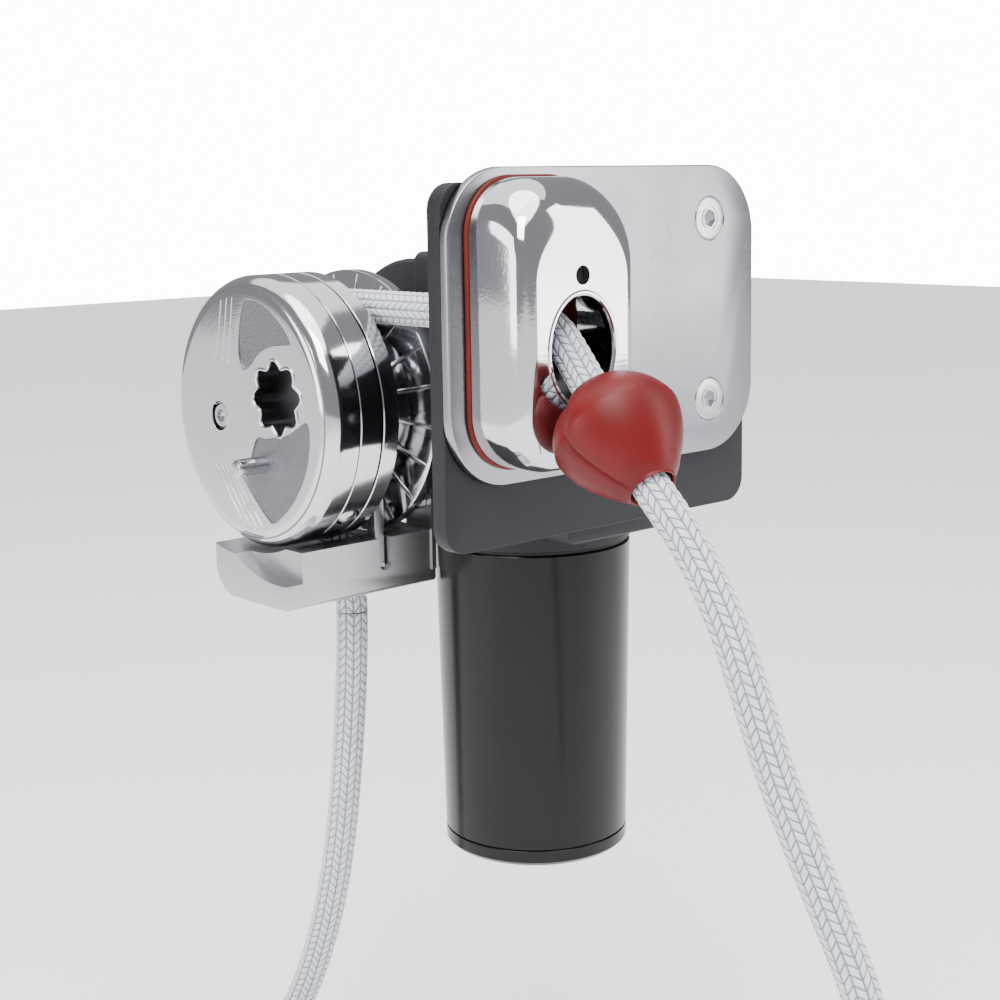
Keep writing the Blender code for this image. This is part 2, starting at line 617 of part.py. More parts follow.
def gypsy():
    """Two cheeks that face each other over the rope; the outer one carries the groove's floor."""
    inner = [
        (INNER_BACK, GYPSY_BORE),
        (INNER_BACK, GYPSY_RADIUS - 2 * MM),
        (INNER_BACK - 2 * MM, GYPSY_RADIUS),
        (INNER_EDGE, GYPSY_RADIUS),
        (ROPE_X + GROOVE_HALF_AT_BOTTOM, GROOVE_BOTTOM_RADIUS),
        (ROPE_X + GROOVE_HALF_AT_BOTTOM, GYPSY_BORE),
    ]
    turned("gypsy_inner_half", "polished_stainless", inner, SHAFT_AXIS, ring=True)
    outer = [
        (ROPE_X + GROOVE_HALF_AT_BOTTOM - GAP, GYPSY_BORE),
        (ROPE_X + GROOVE_HALF_AT_BOTTOM - GAP, GROOVE_BOTTOM_RADIUS),
        (ROPE_X - GROOVE_HALF_AT_BOTTOM, GROOVE_BOTTOM_RADIUS),
        (OUTER_EDGE, GYPSY_RADIUS),
        (OUTER_BACK, GYPSY_RADIUS),
        (OUTER_BACK, GYPSY_BORE),
    ]
    turned("gypsy_outer_half", "polished_stainless", outer, SHAFT_AXIS, ring=True)


def drive_shaft():
    shaft = rod("main_shaft", "steel", SHAFT_RADIUS, SHAFT_LEFT, SHAFT_RIGHT, SHAFT_AXIS, steps=20)
    keyway = 2.5 * MM
    top = SHAFT_RADIUS + 2.2 * MM
    wheel_left = MOTOR_X - WHEEL_WIDTH / 2
    wheel_right = MOTOR_X + WHEEL_WIDTH / 2
    low = (wheel_left + 1 * MM, GYPSY_Y - keyway, GYPSY_Z + SHAFT_RADIUS - 2.5 * MM)
    high = (wheel_right - 1 * MM, GYPSY_Y + keyway, GYPSY_Z + top)
    slack = Vector((GAP, GAP, GAP))
    room = block("keyway", None, Vector(low) - slack, Vector(high) + slack)
    block("wheel_key", "steel", low, high)
    cut(shaft, room)
    pitch = GYPSY_Y - MOTOR_Y - WORM_RADIUS - CLEARANCE
    wheel = tube("worm_wheel", "bronze", GYPSY_BORE, pitch, wheel_left, wheel_right, SHAFT_AXIS, steps=40)
    cut(wheel, room)
    ring_bore = SHAFT_RADIUS + GAP
    ring = tube(
        "clutch_ring", "polished_stainless", ring_bore, GYPSY_RADIUS, RING_LEFT, RING_RIGHT, SHAFT_AXIS, steps=ROUND_STEPS
    )
    turn = math.radians(STUD_ANGLE)
    outwards = Vector((0, math.cos(turn), math.sin(turn)))
    middle = Vector(((RING_LEFT + RING_RIGHT) / 2, GYPSY_Y, GYPSY_Z))
    hole = STUD_RADIUS + CLEARANCE
    cut(ring, rod("ring_stud_hole", None, hole, GYPSY_RADIUS - 8 * MM, GYPSY_RADIUS + 5 * MM, middle, outwards))
    crown = GYPSY_RADIUS + RIM_CLEARANCE - 0.6 * MM
    floor = GYPSY_RADIUS - 7.5 * MM
    profile = [(crown, 0), (crown - 0.6 * MM, 2.4 * MM), (crown - 2 * MM, STUD_RADIUS), (floor, STUD_RADIUS), (floor, 0)]
    turned("ring_stud", "polished_stainless", profile, middle, outwards, steps=SMALL_STEPS)


def star_points():
    """The eight-lobed socket for the handle."""
    points = []
    for lobe in range(16):
        angle = math.radians(22.5 * lobe)
        radius = STAR_RADIUS if lobe % 2 == 0 else STAR_RADIUS * 0.83
        points.append((STAR_Y + radius * math.cos(angle), STAR_Z + radius * math.sin(angle)))
    return points


def clutch_cap():
    """The round cap that screws along the shaft and grips the gypsy."""
    profile = [(CAP_RIGHT, 0), (CAP_RIGHT, GYPSY_RADIUS)]
    for step in range(6):
        angle = math.radians(18 * step)
        along = CAP_FACE + CAP_EDGE * (1 - math.sin(angle))
        profile.append((along, GYPSY_RADIUS - CAP_EDGE * (1 - math.cos(angle))))
    profile.append((CAP_FACE, 0))
    cap = turned("clutch_cap", "polished_stainless", profile, SHAFT_AXIS, steps=ROUND_STEPS)
    cut(cap, rod("cap_bore", None, GYPSY_BORE, SHAFT_LEFT - GAP, CAP_RIGHT + 5 * MM, SHAFT_AXIS, steps=20))
    cut(cap, outline("star_cutter", None, star_points(), CAP_FACE - 5 * MM, CAP_FACE + STAR_DEPTH, "YZ"))
    screw_at = Vector((CAP_FACE, CAP_SCREW_Y, CAP_SCREW_Z))
    bore = CAP_SCREW_RADIUS + 1 * MM
    cut(cap, rod("cap_screw_bore", None, bore, -6.3 * MM, 5 * MM, screw_at, (-1, 0, 0)))
    screw = rod("cap_screw", "satin_stainless", CAP_SCREW_RADIUS, -6 * MM, -0.6 * MM, screw_at, (-1, 0, 0))
    socket_at = screw_at + Vector((0.6 * MM, 0, 0))
    cut(screw, hex_socket("cap_screw_socket", 2.6 * MM, 3 * MM, socket_at, (-1, 0, 0)))
    peg_at = Vector((CAP_FACE, PEG_Y, PEG_Z))
    cut(cap, rod("peg_bore", None, PEG_RADIUS + GAP, -6.3 * MM, 5 * MM, peg_at, (-1, 0, 0)))
    tip = PEG_LENGTH
    profile = [(tip, 0), (tip, PEG_RADIUS - 0.7 * MM), (tip - 0.7 * MM, PEG_RADIUS), (-6 * MM, PEG_RADIUS), (-6 * MM, 0)]
    turned("release_peg", "polished_stainless", profile, peg_at, (-1, 0, 0), steps=SMALL_STEPS)


def stripper_bracket():
    """The bar under the gypsy that guides the rope down, with the lug that fixes it to the gearbox."""
    corner = 12 * MM
    rear = arc((BRACKET_BACK - corner, BRACKET_BOTTOM + corner), corner, 270, 360, 6)
    front = arc((BRACKET_FRONT + 2 * MM, BRACKET_BOTTOM + 2 * MM), 2 * MM, 180, 270, 2)
    points = [(BRACKET_FRONT, BRACKET_TOP)] + front + rear + [(BRACKET_BACK, BRACKET_TOP + 3 * MM)]
    points += [(BRACKET_BACK - 3 * MM, BRACKET_TOP + 3 * MM), (BRACKET_BACK - 6 * MM, BRACKET_TOP)]
    bar = outline("stripper_bracket", "satin_stainless", points, BRACKET_LEFT, BRACKET_RIGHT, "YZ")
    lug_right = BLOCK_LEFT - GAP
    lug_back = BLOCK_BACK
    lug_bottom = BRACKET_BOTTOM + 5 * MM
    join(bar, block("lug_shape", None, (-18.5 * MM, BRACKET_FRONT - 0.7 * MM, lug_bottom), (-15 * MM, lug_back, 8 * MM)))
    pad_low = (-17 * MM, BRACKET_FRONT, BLOCK_BOTTOM + 1 * MM)
    join(bar, block("pad_shape", None, pad_low, (lug_right, lug_back - 1 * MM, 7 * MM)))
    motor_room = MOTOR_TOP_RADIUS + 0.6 * MM
    cut(bar, rod("motor_room", None, motor_room, -60 * MM, 20 * MM, (MOTOR_X, MOTOR_Y, 0), (0, 0, 1), steps=48))
    rim = GYPSY_RADIUS + RIM_CLEARANCE
    cut(bar, rod("rim_room", None, rim, BRACKET_LEFT - 5 * MM, INNER_BACK + 1.5 * MM, SHAFT_AXIS, steps=56))
    scoop = (0, GYPSY_Y - 25 * MM, GYPSY_Z - 8.6 * MM)
    cut(bar, rod("lip_room", None, 52 * MM, BRACKET_LEFT - 5 * MM, LIP_RIGHT, scoop, steps=56))
    slot = rounded_xy(ROPE_X, ROPE_SLOT_HALF, ROPE_SLOT_FRONT, ROPE_SLOT_BACK)
    cut(bar, slot)
    half = FINGER_THICKNESS / 2 + 0.6 * MM
    slot_low = (ROPE_X - half, BRACKET_FRONT - 5 * MM, BRACKET_TOP - 12.5 * MM)
    cut(bar, block("finger_slot", None, slot_low, (ROPE_X + half, BRACKET_FRONT + 8.5 * MM, BRACKET_TOP + 9 * MM)))
    for number, (y, z) in enumerate(BRACKET_BOLTS):
        spot = (0, y, z)
        hole = M6_SHANK - 0.5 * MM + CLEARANCE
        cut(bar, rod(f"bracket_way_{number}", None, hole, -30 * MM, 0, spot, steps=10))
    for number, (y, z) in enumerate(BRACKET_BOLTS, 1):
        head = -18.5 * MM - GAP
        shank = M6_SHANK - 0.5 * MM
        profile = [(BLOCK_LEFT + 10 * MM, 0), (BLOCK_LEFT + 10 * MM, shank), (head, shank)]
        profile += [(head, 4 * MM), (head - 3.5 * MM, 4 * MM), (head - 3.5 * MM, 0)]
        turned(f"bracket_bolt_{number}", "satin_stainless", profile, (0, y, z), steps=12)


def rounded_xy(x, half, front, back):
    """The cutter of an upright slot with round ends."""
    across = back - front - 2 * half
    slot = rod("rope_slot", None, half, -60 * MM, 0, (x, front + half, 0), (0, 0, 1), steps=16)
    join(slot, rod("rope_slot_back", None, half, -59 * MM, -1 * MM, (x, front + half + across, 0), (0, 0, 1), steps=16))
    low = (x - half * 0.99, front + half, -58 * MM)
    join(slot, block("rope_slot_middle", None, low, (x + half * 0.99, front + half + across, -2 * MM)))
    return slot


def stripper_finger():
    """The flat finger that stands in the groove and lifts the rope out of it."""
    foot = BRACKET_TOP - 12 * MM
    front = BRACKET_FRONT + 3 * MM
    points = [(front, foot), (front + 5 * MM, foot), (front + 5 * MM, -14 * MM), (front + 13 * MM, -7 * MM)]
    points += [(front + 11 * MM, -4.5 * MM), (front + 1 * MM, -1.5 * MM), (front, -4 * MM)]
    half = FINGER_THICKNESS / 2
    outline("stripper_finger", "satin_stainless", points, ROPE_X - half, ROPE_X + half, "YZ")


def motor():
    """The tapered cover with its magnets, end cap, terminals and seal; the armature hangs on the worm's shaft."""
    at = (MOTOR_X, MOTOR_Y, 0)
    up = (0, 0, 1)
    gasket_top = MOTOR_TOP + 1.6 * MM - GAP
    bore = MOTOR_TOP_RADIUS - 8 * MM
    gasket_low = gasket_top - 0.9 * MM
    tube("motor_gasket", "black_rubber", bore, MOTOR_TOP_RADIUS - 0.6 * MM, gasket_low, gasket_top, at, up, ROUND_STEPS)
    top = MOTOR_TOP_RADIUS
    foot = MOTOR_FOOT_RADIUS
    inner = foot - MOTOR_WALL
    profile = [(MOTOR_TOP, inner), (MOTOR_TOP, top), (MOTOR_FOOT, foot), (MOTOR_FOOT, inner)]
    housing = turned("motor_housing", "motor_paint", profile, at, up, ring=True, steps=40)
    low = MOTOR_FOOT - GAP
    high = MOTOR_FOOT + 5 * MM
    base = low - END_CAP_HEIGHT
    chamfer = 1.5 * MM
    profile = [(high, 0), (high, inner - GAP), (low, inner - GAP), (low, foot), (base + chamfer, foot)]
    profile += [(base, foot - chamfer), (base, 0)]
    cap = turned("motor_end_cap", "motor_paint", profile, at, up, steps=40)
    cut(cap, rod("tail_bearing_seat", None, WORM_SHAFT_RADIUS + 2 * MM, low, high + 5 * MM, at, up))
    outer = inner - GAP
    magnet_bore = outer - MAGNET_THICKNESS
    tube("motor_magnets", "magnet", magnet_bore, outer, MOTOR_FOOT + 20 * MM, MOTOR_TOP - 25 * MM, at, up, 24)
    for number, side in enumerate((-1, 1), 1):
        spot = (MOTOR_X + side * TERMINAL_SPREAD, MOTOR_Y, MOTOR_TOP - 14 * MM)
        reach = math.sqrt((top - 3 * MM) ** 2 - TERMINAL_SPREAD**2)
        shank = M6_SHANK
        cut(housing, rod(f"terminal_way_{number}", None, shank + CLEARANCE, 20 * MM, 60 * MM, spot, (0, 1, 0), 10))
        profile = [(reach + 16 * MM, 0), (reach + 16 * MM, shank), (reach - 4 * MM, shank), (reach - 4 * MM, 0)]
        turned(f"terminal_stud_{number}", "copper", profile, spot, (0, 1, 0), steps=10)


def worm_and_armature():
    at = (MOTOR_X, MOTOR_Y, 0)
    up = (0, 0, 1)
    shaft = WORM_SHAFT_RADIUS
    worm_low = GYPSY_Z - 22 * MM
    worm_high = GYPSY_Z + 22 * MM
    tail = MOTOR_FOOT - GAP + 1 * MM
    profile = [(59 * MM, 0), (59 * MM, shaft), (worm_high, shaft), (worm_high, WORM_RADIUS)]
    profile += [(worm_low, WORM_RADIUS), (worm_low, shaft), (tail, shaft), (tail, 0)]
    turned("worm_shaft", "steel", profile, at, up, steps=16)
    tube("armature", "copper", shaft + GAP, ARMATURE_RADIUS, MOTOR_FOOT + 15 * MM, MOTOR_TOP - 20 * MM, at, up, 24)


# The rope's route, in three stretches and a coil
OUTBOARD_ROUTE = [
    (-42.6, -30.2, 51.0),
    (-44.3, -38.1, 43.8),
    (-46.6, -52.9, 30.55),
    (-48.9, -67.7, 17.3),
    (-49.7, -78.8, 7.2),
    (-49.8, -89.3, -5.0),
    (-49.2, -99.4, -22.5),
    (-48.0, -107.0, -42.0),
    (-45.5, -114.4, -64.6),
    (-43.5, -120.6, -80.0),
    (-40.4, -128.4, -100.0),
    (-37.2, -134.4, -116.0),
    (-34.4, -138.4, -129.5),
    (-31.5, -141.6, -144.0),
    (-29.0, -144.0, -157.0),
]
LOCKER_ROUTE = [
    (-41.0, 99.0, -52.0),
    (-41.0, 100.5, -78.0),
    (-41.0, 104.0, -106.5),
    (-41.0, 111.0, -147.0),
    (-41.0, 121.0, -182.0),
    (-41.0, 136.0, -216.0),
    (-41.8, 153.0, -243.0),
]


def smooth_points(route, spacing):
    """Points read off a smooth curve through the route's own points."""
    route = [Vector(p) for p in route]
    ends = [2 * route[0] - route[1]] + route + [2 * route[-1] - route[-2]]
    points = []
    for before, here, there, after in zip(ends, ends[1:], ends[2:], ends[3:]):
        count = max(1, round((there - here).length / spacing))
        for step in range(count):
            t = step / count
            pull = (there - before) / 2
            push = (after - here) / 2
            points.append(
                (2 * t**3 - 3 * t**2 + 1) * here
                + (t**3 - 2 * t**2 + t) * pull
                + (3 * t**2 - 2 * t**3) * there
                + (t**3 - t**2) * push
            )
    return points + [route[-1]]


def rope(name, points):
    """A plain tube along a line of points."""
    curve = bpy.data.curves.new(name, "CURVE")
    curve.dimensions = "3D"
    curve.bevel_depth = ROPE_RADIUS
    curve.bevel_resolution = 2
    curve.use_fill_caps = True
    spline = curve.splines.new("POLY")
    spline.points.add(len(points) - 1)
    for point, co in zip(spline.points, points):
        point.co = (*co, 1)
    thing = bpy.data.objects.new(name, curve)
    windlass.objects.link(thing)
    curve.materials.append(finish_of("rope"))
    return thing


def saddle_arc():
    """The rope's line over the saddle, from the level run to the slope that leaves through the mouth."""
    centre_z = GYPSY_Z + ROPE_ON_GYPSY - ROPE_RADIUS - SADDLE_RADIUS - GAP
    radius = SADDLE_RADIUS + ROPE_RADIUS + GAP
    turns = [math.radians(angle) for angle in (0, 12, 24, 36, 47)]
    return [Vector((ROPE_X, SADDLE_Y - radius * math.sin(t), centre_z + radius * math.cos(t))) for t in turns]


def gypsy_wrap():
    """The rope's line over the top of the gypsy, round its back and off below it."""
    turns = [math.radians(angle) for angle in range(0, 151, 15)]
    wrap = [
        Vector((ROPE_X, GYPSY_Y + ROPE_ON_GYPSY * math.sin(t), GYPSY_Z + ROPE_ON_GYPSY * math.cos(t))) for t in turns
    ]
    off = wrap[-1]
    leave = Vector(LOCKER_ROUTE[0]) * MM
    bend = [math.radians(angle) for angle in (42, 54, 66)]
    width = (off.y - leave.y) / (1 - math.sin(math.radians(30)))
    height = (off.z - leave.z) / math.cos(math.radians(30))
    for t in bend:
        across = width * (math.sin(t) - math.sin(math.radians(30)))
        down = height * (math.cos(math.radians(30)) - math.cos(t))
        wrap.append(Vector((ROPE_X, off.y - across, off.z - down)))
    return wrap + [leave + Vector((0, 0, STRAIGHT_END)), leave]


def ropes():
    level = GYPSY_Z + ROPE_ON_GYPSY
    joint_y = SADDLE_Y + STRAIGHT_END
    outboard = [Vector((ROPE_X, joint_y, level))] + saddle_arc() + smooth_points([Vector(p) * MM for p in OUTBOARD_ROUTE], 14 * MM)
    rope("rope_outboard", outboard)
    level_run = [Vector((ROPE_X, joint_y + GAP, level)), Vector((ROPE_X, 30 * MM, level)), Vector((ROPE_X, 70 * MM, level))]
    rope("rope_inboard", level_run + gypsy_wrap())
    start = Vector(LOCKER_ROUTE[0]) * MM
    start.z -= GAP
    locker = [start, start - Vector((0, 0, STRAIGHT_END))] + smooth_points([Vector(p) * MM for p in LOCKER_ROUTE[1:]] + coil_lead(), 14 * MM)
    rope("rope_locker", locker)
    ring = rounded_profile(COIL_HALF_WIDTH, COIL_HALF_HEIGHT, 2 * ROPE_RADIUS)
    middle = LOCKER_FLOOR + COIL_HALF_HEIGHT
    coil = [(middle + up, COIL_MEAN_RADIUS + out) for up, out in ring]
    turned("rope_coil", "rope", coil, (COIL_X, COIL_Y, 0), (0, 0, 1), ring=True, steps=24)


def coil_lead():
    """The last of the hanging rope, which comes down onto the top of the coil along its turns."""
    top = LOCKER_FLOOR + 2 * COIL_HALF_HEIGHT + ROPE_RADIUS + GAP
    points = []
    for angle, lift in ((22, 11), (45, 2), (68, 0), (90, 0)):
        t = math.radians(angle)
        x = COIL_X + COIL_MEAN_RADIUS * math.cos(t)
        y = COIL_Y + COIL_MEAN_RADIUS * math.sin(t)
        points.append(Vector((x, y, top + lift * MM)))
    return points


def rounded_profile(half_width, half_height, corner):
    """Points (up, out) down the outer side of a ring's section with round corners, then up its bore."""
    points = rounded_box(-half_width, half_width, -half_height, half_height, corner, steps=2)
    return [(up, out) for out, up in reversed(points)]


def ball_stopper():
    """Two rubber halves clamped on the rope by a pair of screws."""
    along = (BALL_AHEAD - BALL_AT).normalized()
    profile = []
    steps = 10
    for step in range(steps + 1):
        angle = math.radians(24 + (148 - 24) * step / steps)
        profile.append((BALL_RADIUS * math.cos(angle), BALL_RADIUS * math.sin(angle)))
    profile.append((profile[-1][0], BALL_BORE))
    profile.insert(0, (profile[0][0], BALL_BORE))
    side = along.cross(Vector((0, 0, 1))).normalized()
    upper = side.cross(along).normalized()
    reach = BALL_RADIUS * 2
    for name, sign in (("upper", 1), ("lower", -1)):
        half = turned(f"ball_half_{name}", "red_rubber", profile, BALL_AT, along, ring=True, steps=28)
        low = Vector((-reach, -reach, GAP / 2))
        keep = block(f"ball_keep_{name}", None, low, (reach, reach, reach))
        frame = Matrix((along, side, upper * sign)).transposed().to_4x4()
        if frame.determinant() < 0:
            frame = Matrix((along, -side, upper * sign)).transposed().to_4x4()
        middle = keep.location.copy()
        keep.matrix_world = Matrix.Translation(BALL_AT) @ frame @ Matrix.Translation(middle)
        combine(half, keep, "INTERSECT")
    for number, sign in enumerate((-1, 1), 1):
        spot = BALL_AT + side * sign * 13 * MM
        hole = 1.9 * MM
        for name in ("upper", "lower"):
            half = bpy.data.objects[f"ball_half_{name}"]
            way = rod(f"ball_way_{name}_{number}", None, hole + GAP, -12 * MM, 30 * MM, spot, upper * -1, steps=10)
            cut(half, way)
        profile_screw = [(13 * MM, 0), (13 * MM, hole), (-11.6 * MM, hole), (-11.6 * MM, 0)]
        turned(f"ball_screw_{number}", "satin_stainless", profile_screw, spot, upper * -1, steps=10)


def rope_thimble():
    """The steel eye on the rope's outboard end, in line with it."""
    end = Vector(OUTBOARD_ROUTE[-1]) * MM
    before = Vector(OUTBOARD_ROUTE[-2]) * MM
    along = (end - before).normalized()
    ring_radius = 11 * MM
    wire = 3.2 * MM
    centre = end + along * (ring_radius + wire + 0.6 * MM)
    points = arc((ring_radius, 0), wire, 90, -270, 9)[:-1]
    profile = [(up, out) for out, up in points]
    turned("rope_thimble", "polished_stainless", profile, centre, (1, 0, 0), ring=True, steps=24)


backing_plate()
face_plate()
plate_fixings()
hood()
hood_gasket()
rope_saddle()
gearbox_housing()
housing_screws()
gearbox_cover()
bearings_and_seal()
gypsy()
drive_shaft()
clutch_cap()
stripper_bracket()
stripper_finger()
motor()
worm_and_armature()
ball_stopper()
ropes()
rope_thimble()
for part in windlass.objects:
    if part.type == "MESH":
        part.data.shade_smooth()
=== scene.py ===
import math

import bmesh
import bpy
import numpy as np
from mathutils import Matrix, Vector


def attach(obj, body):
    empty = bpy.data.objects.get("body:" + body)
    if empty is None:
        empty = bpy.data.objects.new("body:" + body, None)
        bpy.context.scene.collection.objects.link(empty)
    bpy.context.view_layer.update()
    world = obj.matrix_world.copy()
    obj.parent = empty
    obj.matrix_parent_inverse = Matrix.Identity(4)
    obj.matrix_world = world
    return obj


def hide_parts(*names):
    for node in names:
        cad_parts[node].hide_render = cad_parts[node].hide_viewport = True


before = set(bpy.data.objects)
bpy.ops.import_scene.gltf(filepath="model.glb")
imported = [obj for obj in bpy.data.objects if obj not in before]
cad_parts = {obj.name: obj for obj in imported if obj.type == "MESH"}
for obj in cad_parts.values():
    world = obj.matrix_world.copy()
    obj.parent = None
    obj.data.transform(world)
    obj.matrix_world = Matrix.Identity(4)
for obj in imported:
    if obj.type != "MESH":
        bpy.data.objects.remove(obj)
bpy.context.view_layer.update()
MM = 0.001

# %% [markdown]
# ## The camera
#
# A 62 mm lens on a 36 mm frame, about 0.6 m from the object, turned 42 degrees to its left and raised 9
# degrees. Its three axes are built by hand because it is also rolled by about one degree.
# %% Camera
AZIMUTH, ELEVATION, ROLL = math.radians(-42.05), math.radians(8.80), math.radians(-0.95)
LENS = 61.97
back = Vector(
    (math.sin(AZIMUTH) * math.cos(ELEVATION), -math.cos(AZIMUTH) * math.cos(ELEVATION), math.sin(ELEVATION))
)
level_right = Vector((math.cos(AZIMUTH), math.sin(AZIMUTH), 0))
level_up = back.cross(level_right)
right = level_right * math.cos(ROLL) + level_up * math.sin(ROLL)
up = level_up * math.cos(ROLL) - level_right * math.sin(ROLL)
camera_data = bpy.data.cameras.new("camera")
camera_data.lens = LENS
camera_data.sensor_width = 36
camera_data.shift_y = -0.05
camera_data.clip_start = 0.01
camera = bpy.data.objects.new("camera", camera_data)
bpy.context.scene.collection.objects.link(camera)
camera.matrix_world = Matrix.Translation(
    (-0.43570, -0.42636, 0.11139)
) @ Matrix((right, up, back)).transposed().to_4x4()
bpy.context.scene.camera = camera
print("camera at", tuple(round(value, 4) for value in camera.location))

# %% [markdown]
# ## Shader arithmetic
#
# Patterns read better as formulas than as wired boxes. `Wire` wraps one socket, so that `+`, `*` and
# friends add a Math node each, and `Paint` makes every other node and the material that holds them.
# %% Sockets as numbers
class Wire:
    """One output socket that takes part in arithmetic."""

    def __init__(self, paint, socket):
        self.paint = paint
        self.socket = socket

    def math(self, operation, *others):
        return self.paint.node("ShaderNodeMath", {"operation": operation}, dict(enumerate((self, *others))))

    def __add__(self, other):
        return self.math("ADD", other)

    def __radd__(self, other):
        return self.math("ADD", other)

    def __sub__(self, other):
        return self.math("SUBTRACT", other)

    def __rsub__(self, other):
        return (self * -1) + other

    def __mul__(self, other):
        return self.math("MULTIPLY", other)

    def __rmul__(self, other):
        return self.math("MULTIPLY", other)

    def __truediv__(self, other):
        return self.math("DIVIDE", other)

    def __pow__(self, other):
        return self.math("POWER", other)

    def between(self, low, high):
        """0 under low, 1 over high, and smooth between them."""
        settings = {"interpolation_type": "SMOOTHSTEP"}
        return self.paint.node(
            "ShaderNodeMapRange", settings, {"Value": self, "From Min": low, "From Max": high}
        )


class Paint:
    """A material and its nodes."""

    def __init__(self, name, colour, roughness, metallic=0.0, **more):
        self.material = bpy.data.materials.new(name)
        self.material.use_nodes = True
        self.tree = self.material.node_tree
        self.shader = self.tree.nodes["Principled BSDF"]
        self.set("Base Color", (*colour, 1))
        self.set("Roughness", roughness)
        self.set("Metallic", metallic)
        for key, value in more.items():
            self.set(key.replace("_", " "), value)

    def set(self, key, value):
        if isinstance(value, Wire):
            self.tree.links.new(value.socket, self.shader.inputs[key])
        else:
            self.shader.inputs[key].default_value = value

    def node(self, kind, settings=None, inputs=None, output=0):
        made = self.tree.nodes.new(kind)
        for key, value in (settings or {}).items():
            setattr(made, key, value)
        for key, value in (inputs or {}).items():
            if isinstance(value, Wire):
                self.tree.links.new(value.socket, made.inputs[key])
            else:
                made.inputs[key].default_value = value
        return Wire(self, made.outputs[output])

    def place(self):
        """The object's own coordinates, which are metres in the frame."""
        return self.node("ShaderNodeTexCoord", output="Object")

    def parts(self, vector):
        return [self.node("ShaderNodeSeparateXYZ", None, {0: vector}, axis) for axis in range(3)]

    def join(self, x, y, z):
        return self.node("ShaderNodeCombineXYZ", None, {0: x, 1: y, 2: z})

    def noise(self, where, scale, detail=3, rough=0.5):
        inputs = {"Vector": where, "Scale": scale, "Detail": detail, "Roughness": rough}
        return self.node("ShaderNodeTexNoise", None, inputs, "Fac")

    def blend(self, factor, first, second):
        made = self.node("ShaderNodeMix", {"data_type": "RGBA"}, {0: factor, 6: first, 7: second}, 2)
        return made

    def bump(self, height, strength, distance):
        inputs = {"Strength": strength, "Distance": distance, "Height": height}
        self.set("Normal", self.node("ShaderNodeBump", None, inputs))


# %% [markdown]
# ## The finishes
#
# Each one starts from what the surface is: a mirror polish still shows faint lathe or buffing lines and
# smears, a casting has a fine orange peel under its paint, rubber has a soft grain, and braid is two
# families of strands.
# %% Metals
STEEL = (0.63, 0.63, 0.655)
GYPSY_Y, GYPSY_Z = 107 * MM, 28.6 * MM


def polished(name, roughness=0.09, colour=STEEL, streak=(40, 900, 900)):
    """Buffed stainless: long faint lines along one way, and soft smears in the gloss."""
    paint = Paint(name, colour, roughness, 1.0)
    x, y, z = paint.parts(paint.place())
    lines = paint.noise(paint.join(x * streak[0], y * streak[1], z * streak[2]), 1.0, 2)
    smear = paint.noise(paint.place(), 22.0, 4)
    fleck = paint.noise(paint.place(), 160.0, 2)
    paint.set("Roughness", roughness * 0.75 + smear * roughness * 0.5 + fleck.between(0.62, 0.8) * 0.05)
    light, dark = (*colour, 1), (*[c * 0.9 for c in colour], 1)
    paint.set("Base Color", paint.blend(smear.between(0.35, 0.75), light, dark))
    paint.bump(lines, 0.05, 0.0002)
    return paint.material


def lathe_turned(name, roughness=0.1, colour=STEEL):
    """Steel turned about the gypsy's shaft: fine rings, tied to the distance from it and along it."""
    paint = Paint(name, colour, roughness, 1.0)
    x, y, z = paint.parts(paint.place())
    radius = ((y - GYPSY_Y) ** 2.0 + (z - GYPSY_Z) ** 2.0) ** 0.5
    rings = paint.noise(paint.join(radius * 1500.0, x * 1500.0, 0.0), 1.0, 2)
    smear = paint.noise(paint.place(), 30.0, 4)
    paint.set("Roughness", roughness * 0.7 + smear * roughness * 0.6)
    paint.set(
        "Base Color", paint.blend(smear.between(0.3, 0.8), (*colour, 1), (*[c * 0.88 for c in colour], 1))
    )
    paint.bump(rings, 0.06, 0.0002)
    return paint.material


def satin(name, colour=(0.5, 0.5, 0.52), roughness=0.34, grain=0.12):
    """Bead-blasted or brushed stainless with an even fine grain."""
    paint = Paint(name, colour, roughness, 1.0)
    fine = paint.noise(paint.place(), 1400.0, 2)
    cloud = paint.noise(paint.place(), 45.0, 3)
    paint.set("Roughness", roughness * 0.85 + cloud * roughness * 0.3)
    paint.set("Base Color", paint.blend(cloud, (*colour, 1), (*[c * 0.86 for c in colour], 1)))
    paint.bump(fine, grain, 0.0003)
    return paint.material


# %% Paint, rubber, plastic and rope
def coated(name, colour, roughness, peel=0.12, scale=650.0, coat=0.0):
    """Paint or powder over a casting: an orange peel, and a gloss that varies a little over the surface."""
    paint = Paint(
        name, colour, roughness, 0.0, Coat_Weight=coat, Coat_Roughness=0.15, Specular_IOR_Level=0.22
    )
    skin = paint.noise(paint.place(), scale, 2)
    cloud = paint.noise(paint.place(), 35.0, 3)
    paint.set("Roughness", roughness * 0.85 + cloud * roughness * 0.3)
    light = tuple(c * 1.25 for c in colour)
    paint.set("Base Color", paint.blend(cloud.between(0.3, 0.75), (*colour, 1), (*light, 1)))
    paint.bump(skin, peel, 0.0004)
    return paint.material


def rubber(name, colour, roughness=0.42):
    """Moulded rubber: a soft grain and slight bloom."""
    paint = Paint(name, colour, roughness, 0.0, Specular_IOR_Level=0.25)
    grain = paint.noise(paint.place(), 900.0, 3)
    bloom = paint.noise(paint.place(), 60.0, 4)
    paint.set("Roughness", roughness * 0.8 + bloom * roughness * 0.45)
    deep = tuple(c * 0.8 for c in colour)
    paint.set("Base Color", paint.blend(bloom.between(0.35, 0.7), (*colour, 1), (*deep, 1)))
    paint.bump(grain, 0.1, 0.0003)
    return paint.material


COLUMNS = 12  # plaits round the rope
PLAIT = 3.5 * MM  # one plait's length along it


